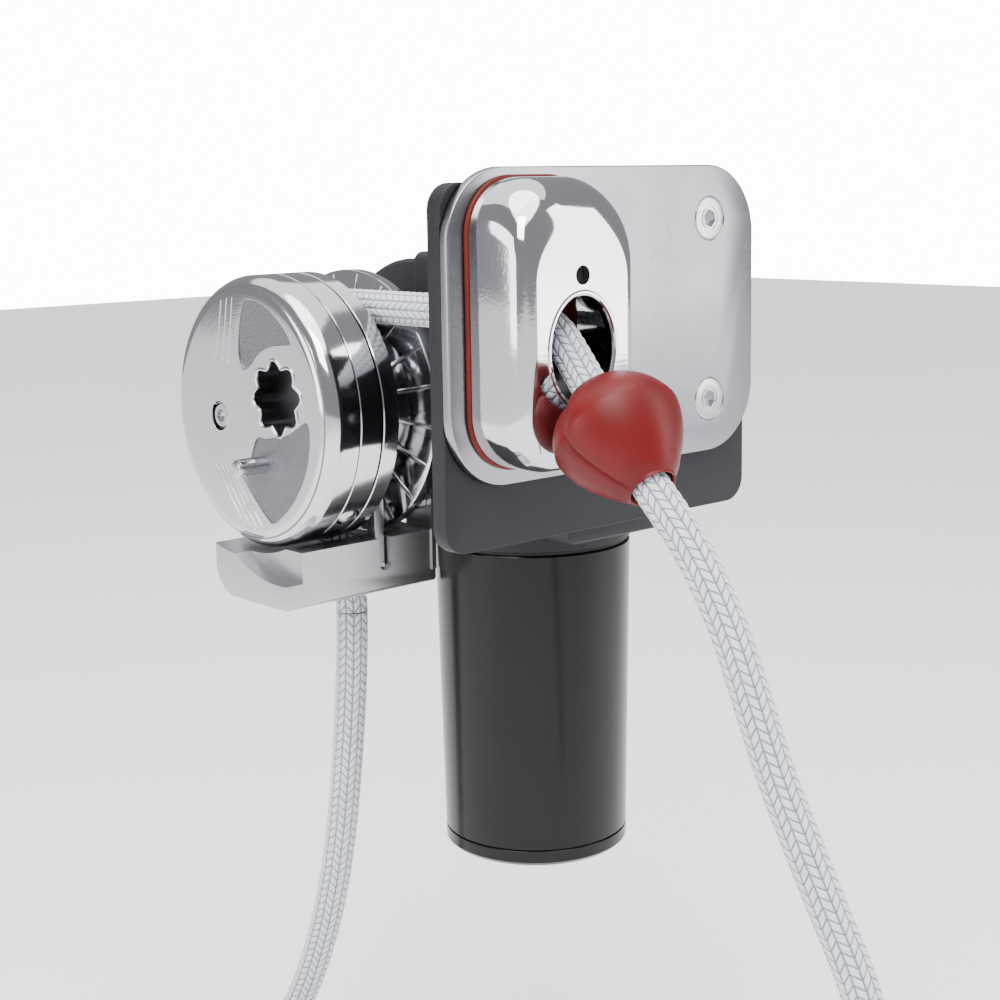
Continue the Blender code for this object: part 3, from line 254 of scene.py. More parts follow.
def braid_paint():
    """White polyester braid, tied to the rope's own UV: u runs round it and v along it, in plaits. The
    grooves between plaits and columns are painted dark as shade, and the same mask sinks them in the bump.
    """
    paint = Paint("rope_braid", (0.80, 0.82, 0.88), 0.75, 0.0, Sheen_Weight=0.25, Sheen_Roughness=0.4)
    u, v, _ = paint.parts(paint.node("ShaderNodeTexCoord", output="UV"))
    column = u * float(COLUMNS)
    across = column.math("FRACT") - 0.5
    side = (column * 0.5).math("FRACT").math("GREATER_THAN", 0.5) * 2.0 - 1.0
    phase = v + across * side * 0.9
    crease = (phase.math("FRACT") - 0.5).math("ABSOLUTE") * 2.0
    edge = across.math("ABSOLUTE") * 2.0
    groove_depth_and_shade = crease.between(0.6, 1.0).math("MAXIMUM", edge.between(0.66, 1.0))
    yarns = ((phase * 31.4).math("SINE") * 0.5 + 0.5) * 0.4
    fuzz = paint.noise(paint.place(), 2600.0, 3)
    # Painted shade: the grooves are blended towards a dark blue-grey, with a little random fuzz tone on top.
    paint.set(
        "Base Color", paint.blend(groove_depth_and_shade * 0.85 + fuzz * 0.1, (0.85, 0.87, 0.92, 1), (0.16, 0.18, 0.26, 1))
    )
    paint.bump((1.0 - groove_depth_and_shade) * 1.0 + yarns + fuzz * 0.5, 0.8, 0.0006)
    return paint.material


ROPE = braid_paint()
MIRROR = polished("polished_plate", 0.27, (0.30, 0.30, 0.325))
HOOD_STEEL = polished("polished_hood", 0.07)
TURNED = lathe_turned("turned_steel")
SATIN = satin("satin_bracket")
FASTENER = satin("fastener_steel", (0.55, 0.55, 0.57), 0.22, 0.05)
PLAIN_STEEL = satin("machined_steel", (0.45, 0.45, 0.46), 0.3, 0.08)
DARK_PLATE = coated("dark_plate_coat", (0.012, 0.012, 0.015), 0.5)
CAST_GREY = coated("gearbox_coat", (0.018, 0.018, 0.021), 0.48, 0.2, 420.0)
MOTOR_BLACK = coated("motor_coat", (0.0045, 0.004, 0.004), 0.2, 0.03, 800.0, 0.0)
BALL_RED = rubber("ball_rubber", (0.12, 0.004, 0.004), 0.42)
GASKET_RED = rubber("gasket_rubber", (0.13, 0.014, 0.008), 0.5)
BLACK_RUBBER = rubber("black_rubber_grain", (0.015, 0.015, 0.015), 0.6)
SADDLE_BLACK = coated("saddle_plastic", (0.012, 0.012, 0.013), 0.35, 0.06)
BRONZE = satin("bronze_cut", (0.55, 0.34, 0.14), 0.3, 0.06)
COPPER = satin("copper_cut", (0.7, 0.32, 0.2), 0.28, 0.05)
FERRITE = coated("ferrite", (0.05, 0.05, 0.055), 0.6, 0.2)
for material in (MIRROR, HOOD_STEEL, TURNED):
    print(material.name, len(material.node_tree.nodes), "nodes")

# %% [markdown]
# ## Helpers for pieces
#
# Each finished piece is one mesh at the origin in frame coordinates, faces outward, that rides on a CAD
# body.
# %% Helpers
def finish_piece(bm, name, material, body, *nodes, sharp=35):
    """Turn a bmesh into a piece with its finish, on its body, in place of these CAD nodes."""
    bmesh.ops.remove_doubles(bm, verts=bm.verts, dist=1e-6)
    bmesh.ops.recalc_face_normals(bm, faces=bm.faces)
    mesh = bpy.data.meshes.new(name)
    bm.to_mesh(mesh)
    bm.free()
    mesh.materials.append(material)
    mesh.shade_smooth()
    mesh.set_sharp_from_angle(angle=math.radians(sharp))
    piece = bpy.data.objects.new(name, mesh)
    bpy.context.scene.collection.objects.link(piece)
    if body:
        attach(piece, body)
    if nodes:
        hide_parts(*nodes)
    return piece


def spun(profile, centre, axis=(1, 0, 0), steps=160):
    """A full turn of (along, radius) points about an axis."""
    bm = bmesh.new()
    axis = Vector(axis).normalized()
    side = axis.orthogonal().normalized()
    verts = [bm.verts.new(Vector(centre) + axis * along + side * radius) for along, radius in profile]
    edges = [bm.edges.new(pair) for pair in zip(verts, verts[1:])]
    bmesh.ops.spin(
        bm, geom=verts + edges, cent=centre, axis=axis, angle=2 * math.pi, steps=steps,
        use_merge=True, use_duplicate=False
    )
    bmesh.ops.remove_doubles(bm, verts=bm.verts, dist=2e-6)
    return bm


def softened(profile, size=0.4 * MM):
    """The same profile with each inner corner cut back, so that edges catch the light."""
    points = [profile[0]]
    for before, here, after in zip(profile, profile[1:], profile[2:]):
        before, here, after = Vector(before), Vector(here), Vector(after)
        reach = min(size, (before - here).length * 0.45, (after - here).length * 0.45)
        first = here + (before - here).normalized() * reach
        last = here + (after - here).normalized() * reach
        for t in (0.0, 0.35, 0.65, 1.0):
            points.append(tuple((1 - t) ** 2 * first + 2 * t * (1 - t) * here + t * t * last))
    points.append(profile[-1])
    return points


def slab(points, low, high, bevel=0.5 * MM, plane="XZ", segments=3):
    """A flat outline extruded across Y (or X for plane YZ), with rounded edges."""
    bm = bmesh.new()
    if plane == "XZ":
        verts = [bm.verts.new((a, low, b)) for a, b in points]
        way = Vector((0, high - low, 0))
    else:
        verts = [bm.verts.new((low, a, b)) for a, b in points]
        way = Vector((high - low, 0, 0))
    face = bm.faces.new(verts)
    made = bmesh.ops.extrude_face_region(bm, geom=[face])
    moved = [item for item in made["geom"] if isinstance(item, bmesh.types.BMVert)]
    bmesh.ops.translate(bm, vec=way, verts=moved)
    bmesh.ops.recalc_face_normals(bm, faces=bm.faces)
    if bevel:
        caps = [
            f for f in bm.faces if len(f.verts) == len(points) and abs(f.normal.dot(way.normalized())) > 0.9
        ]
        edges = {edge for cap in caps for edge in cap.edges}
        bmesh.ops.bevel(
            bm, geom=list(edges), offset=bevel, segments=segments, profile=0.5, affect="EDGES", material=-1
        )
    return bm


def arc(centre, radius, start, end, steps):
    angles = [math.radians(start + (end - start) * i / steps) for i in range(steps + 1)]
    return [(centre[0] + radius * math.cos(a), centre[1] + radius * math.sin(a)) for a in angles]


def round_rect(left, right_, bottom, top, corner, steps=12):
    points = []
    for across, height, start in (
        (right_ - corner, top - corner, 0),
        (left + corner, top - corner, 90),
        (left + corner, bottom + corner, 180),
        (right_ - corner, bottom + corner, 270),
    ):
        points += arc((across, height), corner, start, start + 90, steps)
    return points


def ellipse(across, height, half_width, half_height, steps=96):
    turns = [2 * math.pi * i / steps for i in range(steps)]
    return [(across + half_width * math.cos(t), height + half_height * math.sin(t)) for t in turns]


def carve(piece, *cutters, operation="DIFFERENCE"):
    """Apply Booleans to a piece and drop the cutters."""
    cutters = list(cutters)
    for cutter in cutters:
        modifier = piece.modifiers.new("carve", "BOOLEAN")
        modifier.object = cutter
        modifier.operation = operation
        modifier.solver = "EXACT"
    graph = bpy.context.evaluated_depsgraph_get()
    bpy.context.view_layer.update()
    carved = bpy.data.meshes.new_from_object(piece.evaluated_get(graph))
    piece.modifiers.clear()
    material = piece.data.materials[0]
    piece.data = carved
    piece.data.materials.clear()
    piece.data.materials.append(material)
    piece.data.shade_smooth()
    piece.data.set_sharp_from_angle(angle=math.radians(32))
    for cutter in cutters:
        bpy.data.objects.remove(cutter)
    return piece


def cutter_of(bm, name):
    return finish_piece(bm, name, PLAIN_STEEL, None)


def bead(points, radius, sides=10):
    """A round bead along a closed line of points, such as a rolled lip."""
    bm = bmesh.new()
    rings = []
    count = len(points)
    for i, point in enumerate(points):
        point = Vector(point)
        along = (Vector(points[(i + 1) % count]) - Vector(points[i - 1])).normalized()
        side = along.cross(Vector((0, 1, 0)) if abs(along.y) < 0.9 else Vector((1, 0, 0))).normalized()
        other = along.cross(side).normalized()
        ring = []
        for s in range(sides):
            t = 2 * math.pi * s / sides
            ring.append(bm.verts.new(point + radius * (math.cos(t) * side + math.sin(t) * other)))
        rings.append([bm.edges.new((ring[s - 1], ring[s])) for s in range(sides)])
    for i in range(count):
        bmesh.ops.bridge_loops(bm, edges=rings[i - 1] + rings[i])
    return bm


# %% [markdown]
# ## The rope
#
# Twelve-millimetre double braid. Outboard it comes over the saddle, out of the hood's mouth, through the
# ball and down to an eye. Inboard it runs level to the gypsy, round its back and down through the bracket
# to the locker, where the rest lies in a neat coil. Each stretch is a tube whose plaits are real relief
# where they are seen close, and the coil, which is far from view, has them in its shading only. On every
# stretch the grooves between the plaits are painted dark as shade.
# %% Routes, in millimetres
ROPE_RADIUS = 6 * MM
ROPE_X = -41 * MM
ROPE_ON_GYPSY = 38.4 * MM  # from the shaft to the middle of the rope
LEVEL = GYPSY_Z + ROPE_ON_GYPSY
GAP = 0.3 * MM
SADDLE_Y = -4 * MM
SADDLE_RADIUS = 17.6 * MM
OUTBOARD_ROUTE = [
    (-42.6, -30.2, 51.0),
    (-44.3, -38.1, 43.8),
    (-46.6, -52.9, 30.55),
    (-48.9, -67.7, 17.3),
    (-49.7, -78.8, 7.2),
    (-49.8, -89.3, -5.0),
    (-49.2, -99.4, -22.5),
    (-48.0, -107.0, -42.0),
    (-45.5, -114.4, -64.6),
    (-43.5, -120.6, -80.0),
    (-40.4, -128.4, -100.0),
    (-37.2, -134.4, -116.0),
    (-34.4, -138.4, -129.5),
    (-31.5, -141.6, -144.0),
    (-29.0, -144.0, -157.0),
]
LOCKER_ROUTE = [
    (-41.0, 99.0, -52.0),
    (-41.0, 100.5, -78.0),
    (-41.0, 104.0, -106.5),
    (-41.0, 111.0, -147.0),
    (-41.0, 121.0, -182.0),
    (-41.0, 136.0, -216.0),
    (-41.8, 153.0, -243.0),
]
COIL_MEAN = 72 * MM
COIL_X, COIL_Y = ROPE_X - COIL_MEAN, 150 * MM
FLOOR = -352 * MM
COIL_TOP = FLOOR + 62 * MM


def hermite(route, spacing):
    """Points read off a smooth curve through the route's own points."""
    route = [Vector(p) for p in route]
    ends = [2 * route[0] - route[1]] + route + [2 * route[-1] - route[-2]]
    points = []
    for before, here, there, after in zip(ends, ends[1:], ends[2:], ends[3:]):
        count = max(1, round((there - here).length / spacing))
        for step in range(count):
            t = step / count
            pull, push = (there - before) / 2, (after - here) / 2
            points.append(
                (2 * t**3 - 3 * t**2 + 1) * here
                + (t**3 - 2 * t**2 + t) * pull
                + (3 * t**2 - 2 * t**3) * there
                + (t**3 - t**2) * push
            )
    return points + [route[-1]]


def even(points, spacing):
    """The same line at even steps, softened a little."""
    line = np.array([tuple(p) for p in points])
    steps = np.linalg.norm(np.diff(line, axis=0), axis=1)
    line = line[np.concatenate([[True], steps > 1e-9])]
    steps = steps[steps > 1e-9]
    along = np.concatenate([[0], np.cumsum(steps)])
    at = np.linspace(0, along[-1], max(2, int(round(along[-1] / spacing)) + 1))
    return np.stack([np.interp(at, along, line[:, k]) for k in range(3)], axis=1)


def smoothed(line, reach):
    """A moving average that keeps both ends where they are."""
    out = line.copy()
    for _ in range(reach):
        out[1:-1] = out[1:-1] * 0.5 + (out[:-2] + out[2:]) * 0.25
    return out


def length_of(line):
    return float(np.linalg.norm(np.diff(line, axis=0), axis=1).sum())


def plait_relief(turn, along):
    """The height of the braid, 0 to 1, at these places round the rope (0 to 1) and along it in plaits."""
    column = turn * COLUMNS
    across = column % 1.0 - 0.5
    side = np.where((column * 0.5) % 1.0 > 0.5, 1.0, -1.0)
    phase = (along + across * side * 0.9) % 1.0 - 0.5
    ridge = np.sqrt(np.clip(1 - (2 * across) ** 2, 0, 1))
    plump = np.sqrt(np.clip(1 - (2 * phase) ** 2, 0, 1))
    return ridge**0.7 * (0.35 + 0.65 * plump)


def rope_tube(line, sides, start=0.0, relief=0.07):
    """Vertices, faces and UVs of a braided tube along an even line of points."""
    count = len(line)
    along = np.gradient(line, axis=0)
    along /= np.linalg.norm(along, axis=1)[:, None]
    side = np.cross(along[0], (1.0, 0.0, 0.0))
    side /= np.linalg.norm(side)
    sides_of = []
    for direction in along:
        side = side - direction * side.dot(direction)
        side /= np.linalg.norm(side)
        sides_of.append(side)
    first = np.array(sides_of)
    second = np.cross(along, first)
    step = np.concatenate([[0], np.cumsum(np.linalg.norm(np.diff(line, axis=0), axis=1))]) + start
    turn = np.arange(sides) / sides
    height = plait_relief(turn[None, :], step[:, None] / PLAIT)
    radius = ROPE_RADIUS * (1 - relief + relief * 1.55 * height) if relief else np.full(
        (count, sides), ROPE_RADIUS
    )
    angle = turn * 2 * math.pi
    ring = np.cos(angle)[None, :, None] * first[:, None, :]
    ring = ring + np.sin(angle)[None, :, None] * second[:, None, :]
    points = (line[:, None, :] + ring * radius[:, :, None]).reshape(-1, 3)
    faces, uvs = [], []
    for i in range(count - 1):
        for j in range(sides):
            k = (j + 1) % sides
            faces.append((i * sides + j, (i + 1) * sides + j, (i + 1) * sides + k, i * sides + k))
            low, high = step[i] / PLAIT, step[i + 1] / PLAIT
            a, b = j / sides, (j + 1) / sides
            uvs += [(a, low), (a, high), (b, high), (b, low)]
    for cap, reverse in ((0, False), (count - 1, True)):
        ring_face = [cap * sides + j for j in range(sides)]
        faces.append(tuple(reversed(ring_face)) if reverse else tuple(ring_face))
        uvs += [(0.0, 0.0)] * sides
    return points, faces, uvs, step[-1]


def rope_piece(name, stretches, *nodes):
    """One piece from one or more braided tubes laid end to end: (line, sides, relief) each."""
    points, faces, uvs, start, base = [], [], [], 0.0, 0
    for line, sides, relief in stretches:
        more, loops, mapped, start = rope_tube(line, sides, start, relief)
        points += more.tolist()
        faces += [tuple(index + base for index in loop) for loop in loops]
        uvs += mapped
        base += len(more)
    mesh = bpy.data.meshes.new(name)
    mesh.from_pydata(points, [], faces)
    layer = mesh.uv_layers.new(name="rope")
    layer.data.foreach_set("uv", np.array(uvs, dtype=np.float32).ravel())
    mesh.materials.append(ROPE)
    mesh.shade_smooth()
    bm = bmesh.new()
    bm.from_mesh(mesh)
    bmesh.ops.recalc_face_normals(bm, faces=bm.faces)
    bm.to_mesh(mesh)
    bm.free()
    piece = bpy.data.objects.new(name, mesh)
    bpy.context.scene.collection.objects.link(piece)
    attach(piece, "base")
    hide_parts(*nodes)
    print(name, len(faces), "faces")
    return piece


# %% [markdown]
# The three lines follow the CAD tubes. The saddle's arc and the gypsy's wrap are true arcs, and what lies
# between them is one smooth curve each.
# %% Lines
saddle_z = LEVEL - ROPE_RADIUS - SADDLE_RADIUS - GAP
saddle_reach = SADDLE_RADIUS + ROPE_RADIUS + GAP
joint_y = SADDLE_Y + 4 * MM
outboard = [Vector((ROPE_X, joint_y, LEVEL))]
for angle in range(0, 48, 6):
    t = math.radians(angle)
    outboard.append(
        Vector((ROPE_X, SADDLE_Y - saddle_reach * math.sin(t), saddle_z + saddle_reach * math.cos(t)))
    )
outboard += hermite([Vector(p) * MM for p in OUTBOARD_ROUTE], 6 * MM)
outboard_line = smoothed(even(outboard, 0.7 * MM), 30)

wrap = []
for angle in range(0, 151, 5):
    t = math.radians(angle)
    wrap.append(
        Vector((ROPE_X, GYPSY_Y + ROPE_ON_GYPSY * math.sin(t), GYPSY_Z + ROPE_ON_GYPSY * math.cos(t)))
    )
off, leave = wrap[-1], Vector(LOCKER_ROUTE[0]) * MM
width = (off.y - leave.y) / (1 - math.sin(math.radians(30)))
height = (off.z - leave.z) / math.cos(math.radians(30))
for angle in range(36, 76, 6):
    t = math.radians(angle)
    across = width * (math.sin(t) - 0.5)
    down = height * (math.cos(math.radians(30)) - math.cos(t))
    wrap.append(Vector((ROPE_X, off.y - across, off.z - down)))
inboard = [Vector((ROPE_X, joint_y + GAP, LEVEL))] + wrap + [leave + Vector((0, 0, 4 * MM)), leave]
inboard_line = smoothed(even(inboard, 0.7 * MM), 30)

lead = []
for angle, lift in ((22, 11), (45, 2), (68, 0), (90, 0)):
    t = math.radians(angle)
    spot = (
        COIL_X + COIL_MEAN * math.cos(t), COIL_Y + COIL_MEAN * math.sin(t),
        COIL_TOP + ROPE_RADIUS + GAP + lift * MM
    )
    lead.append(Vector(spot))
start = leave - Vector((0, 0, GAP))
hanging = [start, start - Vector((0, 0, 4 * MM))]
hanging += hermite([Vector(p) * MM for p in LOCKER_ROUTE[1:]] + lead, 6 * MM)
hanging_line = smoothed(even(hanging, 0.7 * MM), 30)
print(
    "outboard", length_of(outboard_line), "inboard", length_of(inboard_line), "hanging",
    length_of(hanging_line)
)

# %% [markdown]
# The coil is four turns wide and five deep. Each turn keeps its radius for most of the way round and
# steps across by one diameter over its last sixth, so that neighbours stay beside each other, and each
# layer drops by one diameter where it ends.
# %% Coil
TURN_RADII = [90 * MM, 78 * MM, 66 * MM, 54 * MM]
LAYER = 12.3 * MM
PER_TURN = 60


def ease(t):
    t = min(1.0, max(0.0, t))
    return t * t * (3 - 2 * t)


coil = []
turns = []
for layer in range(5):
    radii = TURN_RADII if layer % 2 == 0 else TURN_RADII[::-1]
    turns += [(radius, COIL_TOP - 6.3 * MM - layer * LAYER) for radius in radii]
begin = math.radians(90)
for number, (radius, level) in enumerate(turns):
    after = turns[number + 1] if number + 1 < len(turns) else (radius, level)
    for step in range(PER_TURN):
        part = step / PER_TURN
        move = ease((part - 0.8) / 0.2)
        here = radius + (after[0] - radius) * move
        high = level + (after[1] - level) * move
        if number == 0:
            sink = ease(part / 0.3)
            here = COIL_MEAN + (here - COIL_MEAN) * sink
            high = (COIL_TOP + ROPE_RADIUS + GAP) + (high - COIL_TOP - ROPE_RADIUS - GAP) * sink
        t = begin + 2 * math.pi * (number + part)
        coil.append(Vector((COIL_X + here * math.cos(t), COIL_Y + here * math.sin(t), high)))
coil_line = even(coil, 5 * MM)
print("coil", length_of(coil_line), "m in", len(turns), "turns")

# %% [markdown]
# Each stretch becomes a piece, and the two free ones are kept in variables.
# %% Rope pieces
ROPE_SIDES, COIL_SIDES = 72, 14
PLAIT_RELIEF = 0.07  # of the rope's radius
rope_outboard = rope_piece(
    "rope_outboard_braid", [(outboard_line, ROPE_SIDES, PLAIT_RELIEF)], "rope_outboard"
)
rope_piece("rope_inboard_braid", [(inboard_line, ROPE_SIDES, PLAIT_RELIEF)], "rope_inboard")
rope_locker = rope_piece(
    "rope_locker_braid", [
        (hanging_line, ROPE_SIDES, PLAIT_RELIEF), (coil_line, COIL_SIDES, 0.0)
    ], "rope_locker", "rope_coil"
)

# %% [markdown]
# ## The red ball
#
# Two rubber halves clamp round the rope, so that the ball meets the hood before the splice reaches the
# gypsy. It is turned first, and then each ring is drawn in: a taper towards the lower rope, a shallow notch
# between two lobes towards the hood, and a fine parting line between the halves.
# %% Ball
BALL_AT = Vector((-46.6, -52.9, 30.55)) * MM
along = (Vector((-48.9, -67.7, 17.3)) * MM - BALL_AT).normalized()
BALL_RADIUS = 22.2 * MM
BALL_BORE = 6.9 * MM
arc_points = []
for step in range(41):
    t = math.radians(24 + (146 - 24) * step / 40)
    arc_points.append((BALL_RADIUS * math.cos(t), BALL_RADIUS * math.sin(t)))
flat_end = arc_points[-1][0]
profile = [(arc_points[0][0] - 3 * MM, BALL_BORE)] + [(arc_points[0][0], BALL_BORE + 0.6 * MM)] + arc_points
profile += [(flat_end - 0.9 * MM, arc_points[-1][1] - 1.6 * MM), (flat_end - 0.9 * MM, BALL_BORE + 1.2 * MM)]
profile += [(flat_end + 1.0 * MM, BALL_BORE), (arc_points[0][0] - 3 * MM, BALL_BORE)]
bm = spun(softened(profile, 1.0 * MM), BALL_AT, along, 160)
side = along.cross(Vector((0, 0, 1))).normalized()
upper = side.cross(along).normalized()
for vert in bm.verts:
    offset = vert.co - BALL_AT
    depth, across, height = offset.dot(along), offset.dot(side), offset.dot(upper)
    reach = math.hypot(across, height)
    if reach > BALL_BORE + 1.5 * MM:
        taper = 1 - 0.24 * max(0.0, min(1.0, (depth + 4 * MM) / (18 * MM)))
        seam = 0.9 * MM * math.exp(-((height / (0.9 * MM)) ** 2))
        notch = 2.6 * MM * math.exp(-((height / (4.5 * MM)) ** 2)) * max(0.0, min(1.0, -depth / (12 * MM)))
        scale = max(taper - (seam + notch) / reach, (BALL_BORE + 1.4 * MM) / reach)
        vert.co = BALL_AT + along * depth + (side * across + upper * height) * scale
ball = finish_piece(bm, "ball_rubber_pair", BALL_RED, "base", "ball_half_upper", "ball_half_lower")

# %% [markdown]
# Points along the outboard line, every eighth one and its end, are listed, and nothing uses them.
# %% Cords
[tuple(p) for p in outboard_line[::8]] + [tuple(outboard_line[-1])]

# %% [markdown]
# ## Plates
#
# The face plate is 4 mm polished stainless with large corner radii, and countersinks on its right. The
# backing plate is 7 mm and dark, with its edges broken by a fine chamfer that catches the light.
# %% Plates
PLATE_BACK, PLATE_FRONT = 0.2 * MM, -3.8 * MM
BOLT_WAY = 4.35 * MM  # radius of the way for an M8 screw or stud
SCREWS = [(51.5 * MM, 30.5 * MM), (51.5 * MM, 97.5 * MM)]
STUDS = [(ROPE_X, 26 * MM), (ROPE_X, 104.5 * MM)]


def mm(points):
    """Points written in millimetres, as metres."""
    return [(a * MM, b * MM) for a, b in points]


def round_cutter(name, centre, axis, radius, low, high, steps=64):
    return cutter_of(spun([(high, 0), (high, radius), (low, radius), (low, 0)], centre, axis, steps), name)


def passage_cutter(name, low, high):
    points = round_rect(ROPE_X - 12.5 * MM, ROPE_X + 12.5 * MM, 34.5 * MM, 79 * MM, 11 * MM)
    return cutter_of(slab(points, low, high, 0), name)


points = round_rect(-76 * MM, 76 * MM, 11 * MM, 117 * MM, 25 * MM, 20)
face_plate = finish_piece(
    slab(points, PLATE_FRONT, PLATE_BACK, 0.7 * MM), "face_plate_polished", MIRROR, "base", "face_plate"
)
cutters = [passage_cutter("passage", -15 * MM, 5 * MM)]
for x, z in SCREWS:
    sink = [
        (1 * MM, 0), (1 * MM, 8.5 * MM), (0.2 * MM, 8.5 * MM), (-4 * MM, BOLT_WAY), (-15 * MM, BOLT_WAY),
        (-15 * MM, 0)
    ]
    cutters.append(cutter_of(spun(sink, (x, PLATE_FRONT, z), (0, -1, 0), 64), "sink"))
cutters += [round_cutter("stud_way", (x, 0, z), (0, 1, 0), BOLT_WAY, -15 * MM, 5 * MM) for x, z in STUDS]
carve(face_plate, *cutters)
points = round_rect(-75.5 * MM, 75.5 * MM, -11 * MM, 112 * MM, 9 * MM, 16)
backing = finish_piece(
    slab(points, 0.02 * MM, 7 * MM, 0.5 * MM), "backing_plate_coated", DARK_PLATE, "base", "backing_plate"
)
seat = round_rect(-76.3 * MM, 76.3 * MM, 10.7 * MM, 117.3 * MM, 25.3 * MM, 20)
cutters = [passage_cutter("passage", -15 * MM, 15 * MM), cutter_of(slab(seat, -5 * MM, 0.5 * MM, 0), "seat")]
cutters += [
    round_cutter("way", (x, 0, z), (0, 1, 0), BOLT_WAY, -15 * MM, 15 * MM) for x, z in SCREWS + STUDS
]
carve(backing, *cutters)
print("plates", len(face_plate.data.polygons), len(backing.data.polygons), "faces")

# %% [markdown]
# The gasket is a thin red line round the hood. The screws are countersunk with hexagon sockets, and
# turned smooth.
# %% Gasket and screws
half = 28.3 * MM
points = round_rect(ROPE_X - half, ROPE_X + half, 16.2 * MM, 114.3 * MM, 19.8 * MM, 16)
gasket = finish_piece(
    slab(points, -5.6 * MM, -4.1 * MM, 0.3 * MM), "hood_gasket_red", GASKET_RED, "base", "hood_gasket"
)
cutters = [passage_cutter("passage", -15 * MM, 5 * MM)]
cutters += [round_cutter("way", (x, 0, z), (0, 1, 0), BOLT_WAY, -15 * MM, 5 * MM) for x, z in STUDS]
carve(gasket, *cutters)
for number, (x, z) in enumerate(SCREWS):
    shape = [
        (-0.02 * MM, 0), (-0.02 * MM, 7.5 * MM), (-0.5 * MM, 7.9 * MM), (-4 * MM, 4 * MM),
        (-20.5 * MM, 4 * MM), (-20.5 * MM, 0)
    ]
    level = "lower" if number == 0 else "upper"
    bm = spun(softened(shape, 0.3 * MM), (x, PLATE_FRONT, z), (0, -1, 0), 96)
    screw = finish_piece(bm, f"plate_screw_{level}_turned", FASTENER, "base", f"plate_screw_{level}")
    hexagon = round_cutter("hex", (x, PLATE_FRONT, z), (0, -1, 0), 3.4 * MM, -3 * MM, 1 * MM, 6)
    ring = cutter_of(
        spun(
            [
                (1 * MM, 3.9 * MM), (1 * MM, 4.5 * MM), (-0.35 * MM, 4.5 * MM), (-0.35 * MM, 3.9 * MM),
                (1 * MM, 3.9 * MM)
            ],
            (x, PLATE_FRONT, z), (0, -1, 0), 64
        ), "ring"
    )
    carve(screw, hexagon, ring)

# %% [markdown]
# ## Hood
#
# A cast and polished cover. Its sections are rounded rectangles that draw in along a quarter turn: a big
# radius at the crown, a smaller one at the foot and a tight one down the sides, which leaves the front
# flat. The mouth has a rolled lip.
# %% Hood
HOOD_BACK, HOOD_DEPTH = -5.9 * MM, 24.3 * MM
HOOD_FRONT = HOOD_BACK - HOOD_DEPTH


def hood_section(depth, angle):
    side, foot, crown = 6 * MM, 11 * MM, 19 * MM
    reach = max(0.0, 1 - (depth - HOOD_FRONT) / side)
    inset = 2 * MM * (HOOD_BACK - depth) / HOOD_DEPTH + side * 0.85 * (1 - math.sqrt(1 - reach * reach))
    rise = max(0.0, 1 - (depth - HOOD_FRONT) / foot)
    top = 113.5 * MM - crown * (1 - math.cos(angle))
    bottom = 17 * MM + foot * (1 - math.sqrt(1 - rise * rise))
    half_width = 27.5 * MM - inset
    return round_rect(ROPE_X - half_width, ROPE_X + half_width, bottom, top, 19 * MM - 0.5 * inset, 18)


def lofted(sections):
    bm = bmesh.new()
    loops = []
    for depth, points in sections:
        verts = [bm.verts.new((x, depth, z)) for x, z in points]
        loops.append([bm.edges.new((verts[i - 1], verts[i])) for i in range(len(verts))])
    for first, second in zip(loops, loops[1:]):
        bmesh.ops.bridge_loops(bm, edges=first + second)
    bmesh.ops.holes_fill(bm, edges=loops[0] + loops[-1], sides=0)
    return bm


sections = [(HOOD_BACK, hood_section(HOOD_BACK, 0))]
for step in range(33):
    angle = math.radians(90 * step / 32)
    depth = HOOD_FRONT + 19 * MM * (1 - math.sin(angle))
    sections.append((depth, hood_section(depth, angle)))
hood = finish_piece(lofted(sections), "hood_polished", HOOD_STEEL, "base", "hood", sharp=50)
room = round_rect(ROPE_X - 17 * MM, ROPE_X + 17 * MM, 34.5 * MM, 80 * MM, 14 * MM, 14)
mouth = ellipse(ROPE_X, 57.4 * MM, 15.3 * MM, 18.7 * MM)
cutters = [cutter_of(slab(room, HOOD_FRONT + 4.5 * MM, 5 * MM, 0), "room")]
cutters.append(cutter_of(slab(mouth, HOOD_FRONT - 9 * MM, HOOD_FRONT + 9 * MM, 0), "mouth"))
cutters.append(round_cutter("drain", (ROPE_X, HOOD_FRONT, 81.7 * MM), (0, 1, 0), 3.2 * MM, -5 * MM, 3.2 * MM))
cutters += [
    round_cutter("bolt_room", (x, 0, z), (0, 1, 0), BOLT_WAY, HOOD_BACK - 12.5 * MM, 5 * MM) for x,
    z in STUDS
]
carve(hood, *cutters)
hood.data.set_sharp_from_angle(angle=math.radians(50))
lip = bead([(x, HOOD_FRONT + 0.7 * MM, z) for x, z in mouth], 1.15 * MM)
lip = finish_piece(lip, "hood_mouth_lip", HOOD_STEEL, "base")
# Painted shade: a black disc at the bottom of the blind drain hole darkens it; the hole has no plug.
dark = slab(
    ellipse(ROPE_X, 81.7 * MM, 3.0 * MM, 3.0 * MM, 32), HOOD_FRONT + 2.9 * MM, HOOD_FRONT + 3.3 * MM, 0
)
finish_piece(dark, "hood_drain_painted_shade", BLACK_RUBBER, "base")
print("hood", len(hood.data.polygons), "faces")

